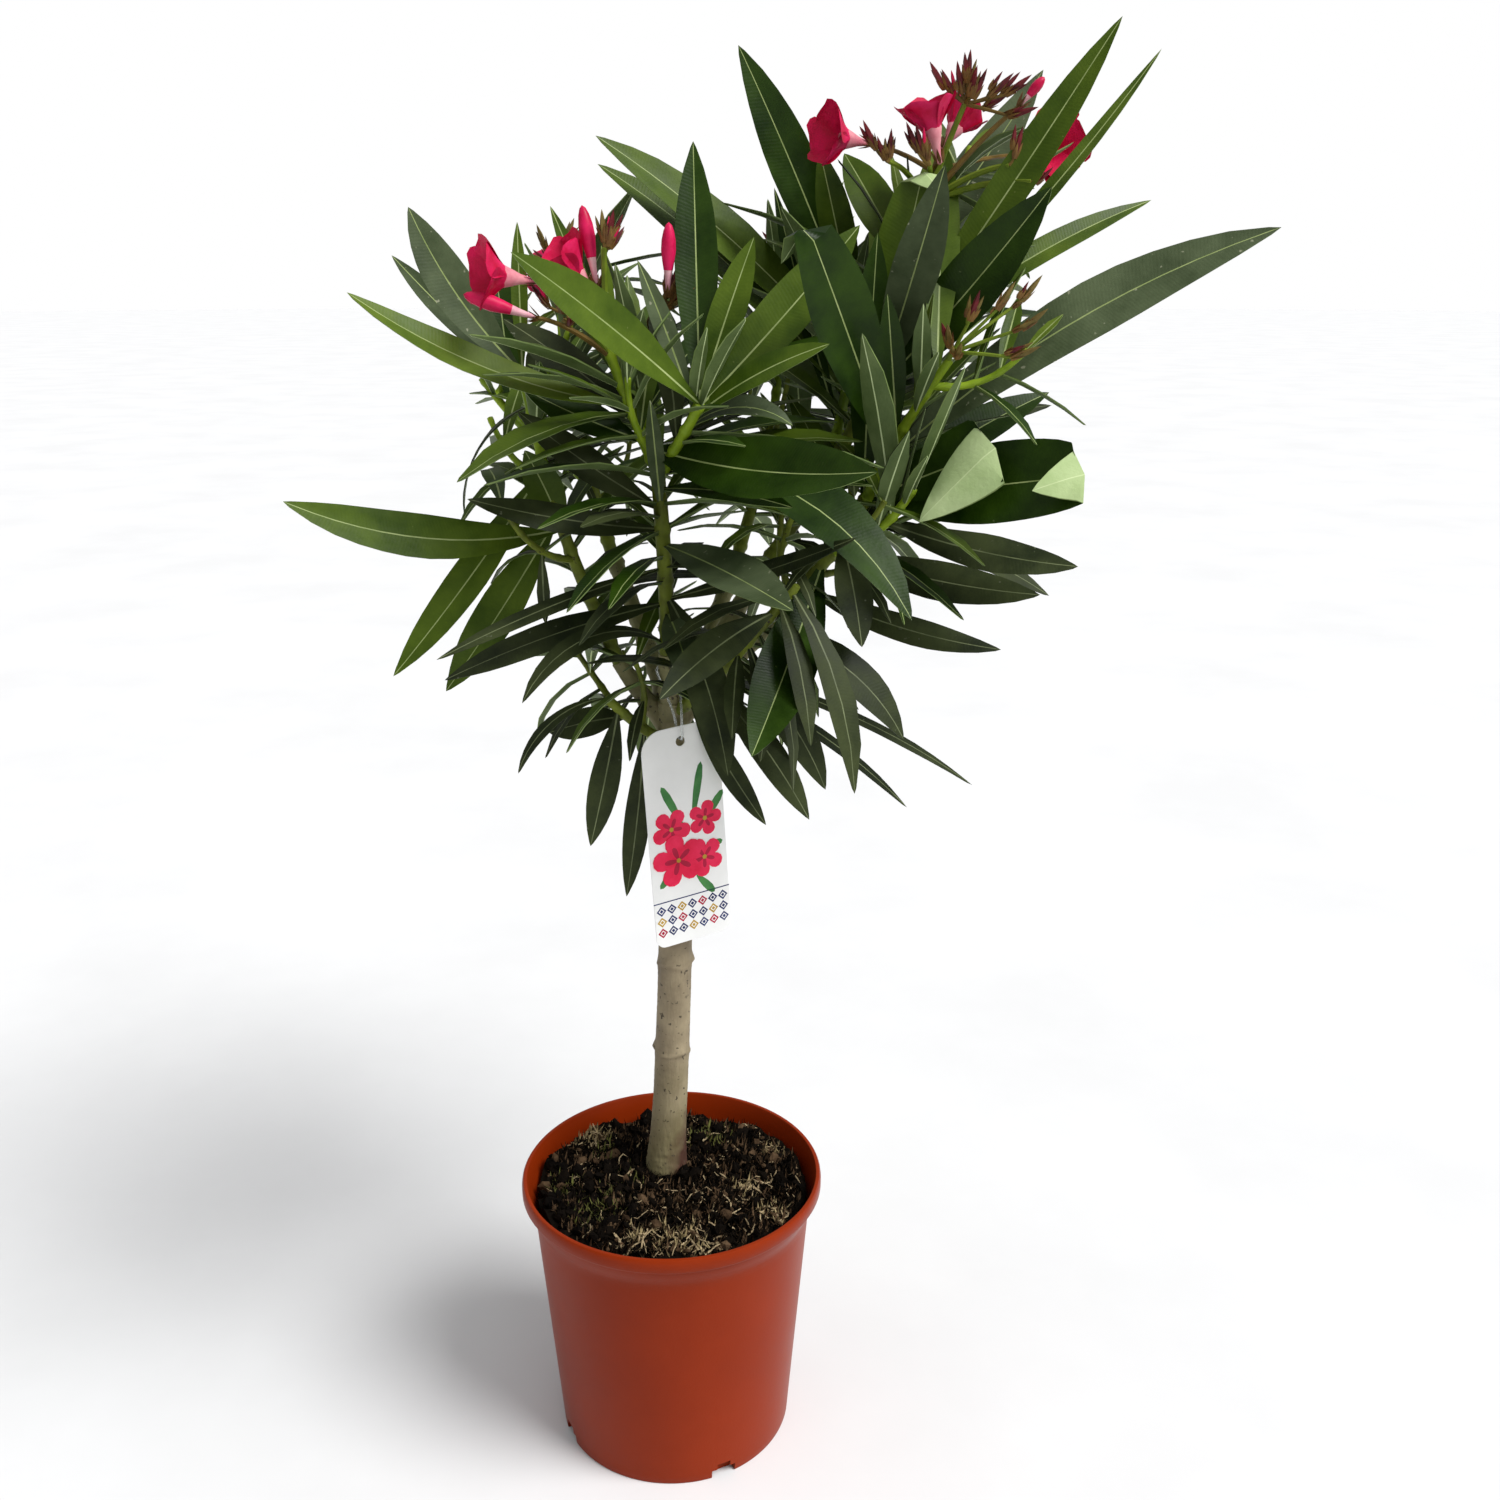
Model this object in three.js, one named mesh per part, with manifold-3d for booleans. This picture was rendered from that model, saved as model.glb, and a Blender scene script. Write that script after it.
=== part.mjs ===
// A small standard oleander in a plastic nursery pot, with a hanging picture label.
// Millimetres, +Z up, origin at the centre of the pot's flat underside, front towards -Y.

import * as THREE from 'three';
import { mergeVertices } from 'three/addons/utils/BufferGeometryUtils.js';
import Module from 'manifold-3d';

const wasm = await Module();
wasm.setup();
const { Manifold, Mesh } = wasm;

const lerp = THREE.MathUtils.lerp;
const rad = THREE.MathUtils.degToRad;
const vec = (x, y, z) => new THREE.Vector3(x, y, z);

// Clearance between neighbouring pieces, and between limbs that meet
const GAP = 0.3;
const LIMB_GAP = 0.42;

// Pot: a tapered wall with a rolled rim and four drainage notches
const POT = {
  height: 180, baseRadius: 74.6, bodyTopRadius: 87.5, rimRadius: 95, mouthRadius: 91.5,
  wall: 2, floor: 3, bodyTop: 163, rimBottom: 171, edge: 1.2, sides: 40,
};
const NOTCH = { count: 4, firstAngle: 23, wide: 16, low: 6, narrow: 9, high: 10, depth: 12 };

// Compost: flat where the trunk stands, uneven and slightly higher at the front elsewhere
const SOIL = { level: 172, seat: 30, swell: 3.2, frontRise: 0.03, edgeDrop: 4, sides: 28, rings: 4 };

// Trunk: route through three points, radius at the foot, above its flare, and at the fork
const TRUNK = {
  route: [[-4.6, 18, 158], [4.2, 10, 325], [6, 1, 490]], foot: 13.4, low: 11.1, top: 9.4, flare: 0.05,
};

// Label and its tie
const LABEL = {
  width: 49.5, height: 134, thick: 0.9, cornerTop: 13, cornerBottom: 6, hole: 3, holeBelowTop: 9,
  at: [9, -17, 471], turn: 26, tilt: 3.6, view: 170,
};
const TIE = { radius: 0.7, level: 512, sides: 4, steps: 30 };

// Boughs: route and the radius at both ends; each leaves the trunk's head
const BOUGHS = {
  centre: { route: [[5, 0, 480], [4, -2, 500], [3, -6, 520]], radii: [6.6, 5.2] },
  right: { route: [[6, 0, 476], [34, -2, 507], [62, -5, 537]], radii: [5.8, 4.8] },
  top: { route: [[6, 3, 482], [32, 14, 522], [60, 20, 565]], radii: [5.6, 4.7] },
  left: { route: [[3, 2, 474], [-12, 6, 492], [-25, 7, 512]], radii: [5.4, 4.5] },
  back_left: { route: [[4, 4, 480], [-10, 34, 518], [-28, 64, 560]], radii: [5.4, 4.5] },
  back_right: { route: [[5, 4, 472], [24, 42, 508], [44, 80, 550]], radii: [5.4, 4.5] },
};

// How a leaf stands and how long it is, at three ages: degrees and millimetres
const AGES = {
  old: { open: 96, length: 122, width: 17, droop: 52 },
  full: { open: 60, length: 148, width: 24, droop: 30 },
  young: { open: 22, length: 92, width: 15, droop: 6 },
};

// Shoots of each mass of leaves: route, radii, number of whorls, age at foot and tip, first
// whorl's place and turn. The first shoot of a mass is its stem.
const MASSES = {
  centre: {
    heart: [8, -40, 645], reach: 122,
    shoots: {
      centreStem: { route: [[3, -6, 520], [2, -16, 571], [-1, -27, 626]], radii: [5, 4.2],
        whorls: 4, ages: ['old', 'full'], first: 0.15, turn: 30 },
      centreLeft: { route: [[-1, -27, 624], [-15, -30, 659], [-30, -35, 702]], radii: [3.6, 2.6],
        whorls: 3, ages: ['full', 'young'], first: 0.45, last: 0.8, turn: 0 },
      centreMiddle: { route: [[-1, -26, 622], [-8, -21, 660], [-12, -16, 698]], radii: [3.2, 2.2],
        whorls: 3, ages: ['full', 'young'], first: 0.4, last: 0.8, turn: 50 },
      centreRight: { route: [[-1, -27, 621], [9, -45, 639], [21, -62, 662]], radii: [3.5, 2.9],
        whorls: 3, ages: ['full', 'young'], first: 0.45, turn: 15 },
    },
  },
  left: {
    heart: [-18, 10, 612], reach: 114,
    shoots: {
      leftStem: { route: [[-25, 7, 512], [-44, 2, 560], [-59, 0, 606]], radii: [4.3, 3.4],
        whorls: 4, ages: ['old', 'full'], first: 0.12, turn: 10 },
      leftTip: { route: [[-58, 0, 602], [-66, 4, 638], [-74, 12, 674]], radii: [3.2, 2.5],
        whorls: 3, ages: ['full', 'young'], first: 0.4, turn: 40 },
    },
  },
  right: {
    heart: [112, -20, 645], reach: 135,
    shoots: {
      rightStem: { route: [[62, -5, 537], [90, -6, 570], [114, -10, 608]], radii: [4.6, 3.9],
        whorls: 3, ages: ['old', 'full'], first: 0.15, turn: 0 },
      rightUp: { route: [[113, -10, 604], [127, -24, 640], [150, -44, 682]], radii: [3.6, 2.4],
        whorls: 3, ages: ['full', 'young'], first: 0.35, last: 0.8, turn: 20 },
      rightLow: { route: [[96, -7, 577], [118, -26, 592], [134, -40, 616]], radii: [3.3, 2.5],
        whorls: 3, ages: ['full', 'young'], first: 0.4, turn: 50 },
    },
  },
  top: {
    heart: [130, 35, 715], reach: 128,
    shoots: {
      topStem: { route: [[60, 20, 565], [96, 18, 620], [128, 6, 680]], radii: [4.5, 3.7],
        whorls: 4, ages: ['old', 'full'], first: 0.15, turn: 35 },
      topUp: { route: [[127, 6, 676], [138, 12, 730], [150, 20, 778]], radii: [3.4, 2.4],
        whorls: 3, ages: ['full', 'young'], first: 0.3, last: 0.6, turn: 5 },
      topBack: { route: [[94, 18, 617], [106, 38, 658], [112, 52, 702]], radii: [3.4, 2.6],
        whorls: 3, ages: ['full', 'young'], first: 0.4, turn: 25 },
    },
  },
  back_left: {
    heart: [-20, 98, 665], reach: 116,
    shoots: {
      backLeftStem: { route: [[-28, 64, 560], [-40, 84, 600], [-50, 100, 646]], radii: [4.3, 3.4],
        whorls: 3, ages: ['old', 'full'], first: 0.15, turn: 20 },
      backLeftUp: { route: [[-50, 99, 642], [-56, 108, 680], [-58, 112, 718]], radii: [3.2, 2.4],
        whorls: 3, ages: ['full', 'young'], first: 0.35, last: 0.85, turn: 50 },
      backLeftOut: { route: [[-41, 86, 604], [-76, 96, 630], [-106, 108, 664]], radii: [3.2, 2.4],
        whorls: 3, ages: ['full', 'young'], first: 0.4, turn: 0 },
    },
  },
  back_right: {
    heart: [84, 105, 655], reach: 136,
    shoots: {
      backRightStem: { route: [[44, 80, 550], [60, 104, 596], [72, 124, 644]], radii: [4.3, 3.4],
        whorls: 3, ages: ['old', 'full'], first: 0.15, turn: 0 },
      backRightUp: { route: [[72, 123, 640], [77, 134, 678], [80, 140, 716]], radii: [3.2, 2.4],
        whorls: 3, ages: ['full', 'young'], first: 0.35, last: 0.85, turn: 30 },
      backRightOut: { route: [[61, 105, 598], [102, 112, 622], [140, 112, 656]], radii: [3.2, 2.4],
        whorls: 3, ages: ['full', 'young'], first: 0.4, turn: 15 },
    },
  },
  skirt_left: {
    heart: [-32, 0, 520], reach: 88,
    shoots: {
      skirtLeft: { route: [[0, 0, 466], [-16, -10, 480], [-32, -16, 497]], radii: [3.6, 2.8],
        whorls: 2, ages: ['old', 'old'], first: 0.7, turn: 40 },
    },
  },
  skirt_right: {
    heart: [68, -45, 550], reach: 118,
    shoots: {
      skirtRight: { route: [[7, -3, 484], [36, -27, 518], [72, -45, 566]], radii: [3.9, 2.8],
        whorls: 5, ages: ['old', 'old'], first: 0.35, turn: 0 },
    },
  },
  skirt_back: {
    heart: [18, 60, 515], reach: 105,
    shoots: {
      skirtBack: { route: [[5, 2, 462], [0, 28, 474], [-4, 46, 492]], radii: [3.6, 2.8],
        whorls: 2, ages: ['old', 'old'], first: 0.65, turn: 20 },
    },
  },
};

// The leaves that give the crown its outline: shoot, place on it, tip, width, droop and how far
// the blade faces from the sky to the front, in degrees
const OUTLINE_LEAVES = [
  ['leftStem', 0.82, [-190, -60, 615], 25, -36, 60],
  ['leftTip', 0.3, [-147, -30, 515], 21, -8, 55],
  ['leftStem', 0.9, [-125, 10, 495], 26, -6, 50],
  ['leftTip', 0.75, [-110, 20, 593], 12, 75, 10],
  ['leftStem', 0.8, [-72, -10, 634], 20, 10, 70],
  ['leftTip', 1, [-130, 20, 758], 24, -24, 60],
  ['leftTip', 0.9, [-147, 60, 734], 14, -6, 50],
  ['centreLeft', 0.5, [-150, -60, 716], 20, -28, 40],
  ['centreLeft', 0.2, [99, -150, 639], 36, -16, 60],
  ['centreRight', 0.1, [122, -120, 563], 34, 72, 35],
  ['centreStem', 0.62, [62, -140, 573], 28, 8, 45],
  ['centreStem', 0.7, [-99, -50, 614], 18, -12, 50],
  ['centreStem', 0.5, [-117, -70, 534], 11, 12, 35],
  ['centreStem', 0.3, [-118, -40, 515], 21, 14, 35],
  ['centreRight', 1, [-65, -115, 734], 25, 8, 55],
  ['centreRight', 1, [20, -20, 788], 22, -4, 80],
  ['centreRight', 0.95, [49, -50, 742], 18, 4, 70],
  ['centreRight', 0.85, [84, -80, 692], 16, 22, 45],
  ['centreRight', 0.7, [68, -60, 651], 17, 85, 30],
  ['centreRight', 0.9, [-9, -45, 731], 11, 6, 80],
  ['rightUp', 0.3, [319, -40, 747], 31, 26, 55],
  ['rightUp', 0.5, [116, -50, 715], 14, 4, 70],
  ['rightStem', 0.95, [116, -10, 745], 22, 2, 80],
  ['rightLow', 0.6, [217, -70, 579], 24, -16, 45],
  ['rightStem', 0.85, [216, -20, 553], 18, 24, 35],
  ['rightStem', 0.6, [203, -50, 560], 24, -16, 55],
  ['rightStem', 0.3, [188, -30, 525], 18, -20, 50],
  ['rightStem', 0.9, [222, 30, 660], 24, 14, 50],
  ['topStem', 0.5, [229, 50, 651], 20, 18, 40],
  ['rightStem', 0.5, [44, -110, 491], 32, -10, 60],
  ['skirtRight', 0.85, [-2, -110, 522], 21, 20, 50],
  ['skirtRight', 0.75, [130, -60, 483], 22, 56, 45],
  ['skirtRight', 0.45, [182, 0, 435], 9, 20, 30],
  ['skirtRight', 0.4, [140, -20, 429], 9, 22, 30],
  ['skirtRight', 0.35, [80, -50, 434], 18, 18, 60],
  ['skirtRight', 0.15, [58, -20, 420], 14, -8, 60],
  ['centreStem', 0.05, [-75, -60, 507], 14, 95, 30],
  ['skirtLeft', 0.8, [-42, -50, 421], 17, -8, 60],
  ['skirtLeft', 0.35, [-24, -8, 372], 15, -6, 70],
  ['skirtLeft', 1, [-81, -40, 461], 9, 72, 20],
  ['skirtLeft', 0.65, [-66, 0, 472], 20, 14, 45],
  ['centreStem', 0.35, [34, -66, 466], 23, 40, 75],
  ['topStem', 1, [235, -20, 847], 21, -3, 60],
  ['topUp', 0.05, [275, 40, 840], 10, -12, 40],
  ['topStem', 0.85, [198, -45, 766], 32, -8, 60],
  ['topUp', 0.05, [282, 60, 764], 16, 18, 50],
  ['topBack', 0.9, [223, 90, 835], 27, -10, 60],
  ['topUp', 0.45, [106, 60, 788], 24, 6, 70],
  ['rightUp', 0.9, [156, 30, 795], 20, 2, 75],
  ['topStem', 0.9, [142, -55, 775], 25, -4, 80],
  ['topBack', 0.7, [-31, 40, 795], 28, 18, 45],
  ['topBack', 0.5, [-31, 60, 782], 26, 22, 40],
  ['topBack', 0.95, [46, 40, 840], 27, 6, 65],
  ['topBack', 1, [89, 30, 788], 20, 4, 70],
  ['centreLeft', 0.25, [-70, -30, 668], 22, -10, 45],
  ['centreStem', 0.8, [-72, -40, 657], 20, -10, 50],
  ['centreLeft', 0.4, [-83, 20, 701], 22, 12, 45],
  ['centreStem', 0.32, [94, -120, 604], 14, -6, 50],
  ['centreStem', 0.9, [64, -110, 617], 16, 14, 45],
  ['rightStem', 0.7, [106, -60, 535], 20, 30, 70],
  ['centreRight', 0.95, [104, -30, 748], 26, -6, 60],
  ['topBack', 0.3, [67, 60, 770], 12, -4, 60],
  ['skirtRight', 0.55, [90, -40, 448], 20, 30, 55],
  ['centreLeft', 0.8, [-56, 30, 759], 9, 4, 70],
  ['leftTip', 0.95, [-74, 30, 751], 9, 4, 70],
  ['centreStem', 0.78, [-4, -70, 665], 9, 4, 70],
  ['centreStem', 0.25, [15, -80, 520], 18, 24, 65],
];

// Leaves that are folded over: as above, with the tip where it would be unfolded, the crease's
// place along the leaf, the turn there, below zero to the under face, and the crease's skew
const FOLDED_LEAVES = [
  ['rightStem', 0.97, [214, -95, 659], 37, 4, 66, 0.58, 168, 15],
  ['rightStem', 0.95, [238, -100, 632], 44, 4, 66, 0.81, 150, 12],
  ['topStem', 0.85, [144, 0, 793], 33, 0, 80, 0.84, 130, 20],
  ['rightUp', 0.4, [65, -90, 762], 34, 4, 65, 0.82, -165, -25],
];
const CREASE_RADIUS = 3;

// Blossom: size of the parts, then heads as shoot, hub where the stalks part and tips of the buds
const FLOWER = { petals: 5, reach: 23, notch: 0.62, cup: 7, tube: 17, throat: 4.6, neck: 1.5 };
const BUD = { length: 15, radius: 3, stalk: 1.1, from: 0.8 };
const ROLLED = 4;
const HEADS = [
  ['centreLeft', [-25, -44, 737], [
    [-26, -44, 755], [-20, -46, 755], [-15, -40, 747], [-19, -46, 748],
  ]],
  ['centreLeft', [-44, -50, 706], [
    [-51, -60, 719], [-63, -40, 720], [-35, -64, 712], [-42, -70, 704],
  ]],
  ['centreMiddle', [4, -34, 711], [
    [12, -40, 730], [17, -42, 720], [14, -44, 713], [8, -30, 727],
  ]],
  ['rightUp', [151, -46, 686], [
    [144, -66, 701], [161, -60, 717], [180, -54, 721], [196, -44, 724], [196, -60, 708],
    [192, -66, 690], [150, -74, 692],
  ]],
  ['topUp', [163, 10, 809], [
    [142, 0, 828], [149, 4, 825], [157, 4, 829], [163, 0, 834], [166, -4, 826], [172, 0, 825],
    [186, 0, 823], [195, -2, 822], [186, 6, 814], [198, -8, 806],
  ]],
  ['topUp', [122, -2, 780], [
    [108, -2, 800], [115, -6, 792], [123, -2, 796], [122, 2, 791],
  ]],
  ['topUp', [143, -5, 778], [
    [130, -5, 799], [135, -5, 798], [139, -5, 796],
  ]],
  ['topUp', [184, -8, 778], [
    [190, -10, 797],
  ]],
  ['topUp', [195, -12, 770], [
    [206, -14, 777],
  ]],
  ['backLeftUp', [-61, 122, 732], [
    [-70, 116, 752], [-48, 124, 756], [-58, 134, 744], [-74, 130, 738],
  ]],
  ['backRightUp', [83, 150, 732], [
    [70, 152, 752], [92, 146, 754], [80, 164, 744], [98, 154, 736],
  ]],
];
// Single flowers still rolled up: shoot, foot and tip
const SPINDLES = [
  ['centreMiddle', [6, -38, 715], [7, -40, 749]],
  ['centreLeft', [-30, -38, 720], [-36, -36, 757]],
  ['centreLeft', [-60, -56, 704], [-94, -60, 715]],
  ['topUp', [191, 2, 808], [202, 0, 821]],
];
// shoot, heart of the flower, the way it looks, size
const FLOWERS = [
  ['centreLeft', [-75, -50, 723], [-0.8, -0.35, 0.12], 0.95],
  ['centreLeft', [-40, -40, 723], [-0.6, -0.25, 0.75], 1],
  ['topUp', [219, 58, 791], [0.2, -0.95, 0.1], 1.05],
  ['topUp', [101, 16, 792], [-0.8, -0.4, 0.1], 0.92],
  ['topUp', [145, 4, 796], [-0.3, -0.1, 0.95], 0.95],
  ['topUp', [161, 24, 798], [0.5, 0.4, 0.7], 0.8],
  ['backLeftUp', [-60, 146, 722], [-0.5, 0.7, 0.3], 0.9],
  ['backRightUp', [98, 158, 745], [0.5, 0.7, 0.3], 0.9],
];

// Blade shape, sampling of a leaf for clearance, and the angles and shares of its length that are
// tried before it is left out
const BLADE = { steps: 24, thick: 0.014, least: 1.7, rim: 0.1, petiole: 0.12 };
const CUBE = 7;
const FUSE_TOLERANCE = 0.12;
const SAMPLE = { across: [-0.45, -0.22, 0, 0.22, 0.45], from: 4 };
const NUDGES = [
  [0, 0], [9, 0], [-9, 0], [0, 9], [0, -9], [18, 0], [-18, 0], [18, 9], [-18, 9], [27, -9], [-27, -9],
];
const SHORTER = [1, 0.82, 0.66];

// How far a whorl's leaf may reach in front of its mass's heart, and the room that each open
// flower and each bud keeps free of leaves
const FRONT_REACH = 48;
const BLOSSOM_ROOM = 12;

// Materials
const COLOURS = {
  pot: 0xb34a2a, soil: 0x2b2119, bark: 0x8d7f68, shoot: 0x7d8f2c, leaf: 0x2f5a24, label: 0xf0f0ec,
  tie: 0xdfe4e4,
};
const finish = (color, roughness) => new THREE.MeshStandardMaterial({ color, roughness, metalness: 0 });
const FINISHES = {
  pot: finish(COLOURS.pot, 0.45),
  soil: finish(COLOURS.soil, 0.95),
  bark: finish(COLOURS.bark, 0.85),
  shoot: finish(COLOURS.shoot, 0.6),
  leaf: finish(COLOURS.leaf, 0.5),
  label: finish(COLOURS.label, 0.4),
  tie: finish(COLOURS.tie, 0.3),
};

// A closed solid from a geometry, with its shared corners merged
function solid(geometry) {
  geometry.deleteAttribute('normal');
  geometry.deleteAttribute('uv');
  const merged = mergeVertices(geometry, 1e-4);
  return new Manifold(new Mesh({
    numProp: 3,
    vertProperties: merged.attributes.position.array,
    triVerts: Uint32Array.from(merged.index.array),
  }));
}

// Moves every corner of a geometry by a rule that takes its position and its uv
function shaped(geometry, rule) {
  const position = geometry.attributes.position;
  const uv = geometry.attributes.uv;
  for (let i = 0; i < position.count; i++) {
    const moved = rule(vec(position.getX(i), position.getY(i), position.getZ(i)), uv.getX(i), uv.getY(i));
    position.setXYZ(i, moved.x, moved.y, moved.z);
  }
  return geometry;
}

// The largest piece of a solid, without scraps or sealed hollows
function largest(shape) {
  return shape.decompose().reduce((a, b) => (b.volume() > a.volume() ? b : a));
}

function node(name, shape, material) {
  const mesh = shape.getMesh();
  const geometry = new THREE.BufferGeometry();
  geometry.setAttribute('position', new THREE.BufferAttribute(mesh.vertProperties, 3));
  geometry.setIndex(new THREE.BufferAttribute(mesh.triVerts, 1));
  geometry.computeVertexNormals();
  const part = new THREE.Mesh(geometry, material);
  part.name = name;
  return part;
}

// A smooth curve from the first point through the second to the third
function curveThrough([first, second, third]) {
  const start = vec(...first);
  const end = vec(...third);
  const control = vec(...second).multiplyScalar(2);
  control.addScaledVector(start, -0.5).addScaledVector(end, -0.5);
  return new THREE.QuadraticBezierCurve3(start, control, end);
}

// Point on a curve and the three directions there
function frameAt(curve, t) {
  const along = curve.v1.clone().sub(curve.v0).multiplyScalar(2 * (1 - t));
  along.addScaledVector(curve.v2.clone().sub(curve.v1), 2 * t).normalize();
  const across = along.clone().cross(vec(0, 1, 0)).normalize();
  return { point: curve.getPoint(t), along, across, over: across.clone().cross(along) };
}

// A round limb along a curve; swell grows it on every side, ends included
function limb(curve, radiusAt, sides, segments, swell = 0) {
  const geometry = new THREE.CylinderGeometry(1, 1, 1, sides, segments);
  return solid(shaped(geometry, (p) => {
    const t = THREE.MathUtils.clamp(p.y + 0.5, 0, 1);
    const { point, along, across, over } = frameAt(curve, t);
    const radius = radiusAt(t) + swell;
    const end = t === 0 ? -swell : (t === 1 ? swell : 0);
    point.addScaledVector(across, p.x * radius).addScaledVector(over, p.z * radius);
    return point.addScaledVector(along, end);
  }));
}

const taper = ([first, last]) => (t) => lerp(first, last, t);

// Random numbers that come out the same every time; each shoot starts its own run
let seed = 1;
function startRun(number) {
  seed = 1000 + 7919 * (number + 1);
}
function chance() {
  seed = (seed * 16807) % 2147483647;
  return seed / 2147483647;
}
const spread = (amount) => (chance() * 2 - 1) * amount;

// Directions on a leaf at a share of its length: along the midrib, across the blade and out of it
function leafDirection(leaf, t) {
  const elevation = leaf.rise - leaf.droop * t;
  const level = Math.cos(elevation);
  const along = vec(level * Math.cos(leaf.heading), level * Math.sin(leaf.heading), Math.sin(elevation));
  const side = vec(-Math.sin(leaf.heading), Math.cos(leaf.heading), 0);
  const up = along.clone().cross(side);
  return {
    along,
    side: side.clone().multiplyScalar(Math.cos(leaf.roll)).addScaledVector(up, Math.sin(leaf.roll)),
    up: up.clone().multiplyScalar(Math.cos(leaf.roll)).addScaledVector(side, -Math.sin(leaf.roll)),
  };
}

// Points along the leaf's midrib
function midrib(leaf) {
  const points = [leaf.at.clone()];
  for (let k = 0; k < BLADE.steps; k++) {
    const { along } = leafDirection(leaf, (k + 0.5) / BLADE.steps);
    points.push(points[k].clone().addScaledVector(along, leaf.length / BLADE.steps));
  }
  return points;
}

// Bends what lies beyond the crease round it, onto the face that the crease is bent to
function folded(leaf, point) {
  if (!leaf.crease) return point;
  const { origin, beyond, out, turn } = leaf.crease;
  const offset = point.clone().sub(origin);
  const past = offset.dot(beyond);
  if (past <= 0) return point;
  const above = CREASE_RADIUS - offset.dot(out);
  const angle = Math.min(past / CREASE_RADIUS, turn);
  const rest = past - angle * CREASE_RADIUS;
  const newPast = above * Math.sin(angle) + rest * Math.cos(angle);
  const newAbove = CREASE_RADIUS - above * Math.cos(angle) + rest * Math.sin(angle);
  return point.clone().addScaledVector(beyond, newPast - past)
    .addScaledVector(out, newAbove - offset.dot(out));
}

function addCrease(leaf, place, turn, skew) {
  const origin = midrib(leaf)[Math.round(place * BLADE.steps)];
  const { along, side, up } = leafDirection(leaf, place);
  const beyond = along.multiplyScalar(Math.cos(skew)).addScaledVector(side, Math.sin(skew));
  leaf.crease = { origin, beyond, out: up.multiplyScalar(Math.sign(turn)), turn: Math.abs(turn) };
}

// Half the blade's width along its length: a narrow foot, widest just past the middle
function halfWidth(leaf, t) {
  const outline = Math.pow(t, 1.1) * Math.pow(1 - t, 0.9) / 0.2525;
  const foot = BLADE.petiole * (1 - t);
  return leaf.width / 2 * Math.max(outline, foot);
}

// A leaf with a given place, heading, rise and shape
function makeLeaf(at, heading, rise, length, width, droop, roll) {
  return { at, heading, rise, length, width, droop, roll, crease: null };
}

// A leaf that ends at a given tip, its blade facing a given angle from the sky to the front
function leafToTip(at, tip, width, droop, facing) {
  const chord = tip.clone().sub(at);
  const reach = chord.length();
  const heading = Math.atan2(chord.y, chord.x);
  const chordRise = Math.asin(chord.z / reach);
  const half = droop / 2;
  const length = Math.abs(half) < 1e-3 ? reach : reach * half / Math.sin(half);
  const leaf = makeLeaf(at, heading, chordRise, length, width, 0, 0);
  const { side, up } = leafDirection(leaf, 0);
  const face = vec(0, -Math.sin(facing), Math.cos(facing));
  leaf.roll = Math.atan2(-face.dot(side), face.dot(up));
  leaf.rise = chordRise + half;
  leaf.droop = droop;
  return leaf;
}

// Half the blade's section: two raised edges and the midrib's keel below
function blade(leaf, rings) {
  const points = midrib(leaf);
  const thick = Math.max(leaf.length * BLADE.thick, BLADE.least);
  const corners = [0, -1, 1];
  const geometry = new THREE.SphereGeometry(1, 3, rings);
  return solid(shaped(geometry, (p, u, v) => {
    const t = 1 - v;
    const step = Math.min(Math.floor(t * BLADE.steps), BLADE.steps - 1);
    const point = points[step].clone().lerp(points[step + 1], t * BLADE.steps - step);
    if (t < 1e-6 || t > 1 - 1e-6) return folded(leaf, point);
    const { side, up } = leafDirection(leaf, t);
    const corner = corners[Math.round(u * 3) % 3];
    const lift = corner === 0 ? -0.7 * thick : 0.3 * thick + BLADE.rim * halfWidth(leaf, t);
    point.addScaledVector(side, corner * halfWidth(leaf, t)).addScaledVector(up, lift);
    return folded(leaf, point);
  }));
}

// Space is dealt out in cubes: a leaf takes the cubes that it passes through
const taken = new Map();
const cubeOf = (p) => `${Math.floor(p.x / CUBE)},${Math.floor(p.y / CUBE)},${Math.floor(p.z / CUBE)}`;

function leafCubes(leaf) {
  const points = midrib(leaf);
  const cubes = new Set();
  for (let k = SAMPLE.from; k <= BLADE.steps; k++) {
    const { side } = leafDirection(leaf, k / BLADE.steps);
    const width = 2 * halfWidth(leaf, k / BLADE.steps);
    for (const across of SAMPLE.across) {
      cubes.add(cubeOf(folded(leaf, points[k].clone().addScaledVector(side, across * width))));
    }
  }
  return cubes;
}

function takeLimb(curve, radiusAt) {
  for (let k = 0; k <= 40; k++) {
    const { point, across, over } = frameAt(curve, k / 40);
    const radius = radiusAt(k / 40) + 2;
    for (let turn = 0; turn < 8; turn++) {
      const angle = turn * Math.PI / 4;
      const p = point.clone().addScaledVector(across, Math.cos(angle) * radius);
      taken.set(cubeOf(p.addScaledVector(over, Math.sin(angle) * radius)), true);
    }
  }
}

function takeBall(heart) {
  for (let x = -BLOSSOM_ROOM; x <= BLOSSOM_ROOM; x += CUBE) {
    for (let y = -BLOSSOM_ROOM; y <= BLOSSOM_ROOM; y += CUBE) {
      for (let z = -BLOSSOM_ROOM; z <= BLOSSOM_ROOM; z += CUBE) {
        const offset = vec(x, y, z);
        if (offset.length() <= BLOSSOM_ROOM) taken.set(cubeOf(offset.add(heart)), true);
      }
    }
  }
}

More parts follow.
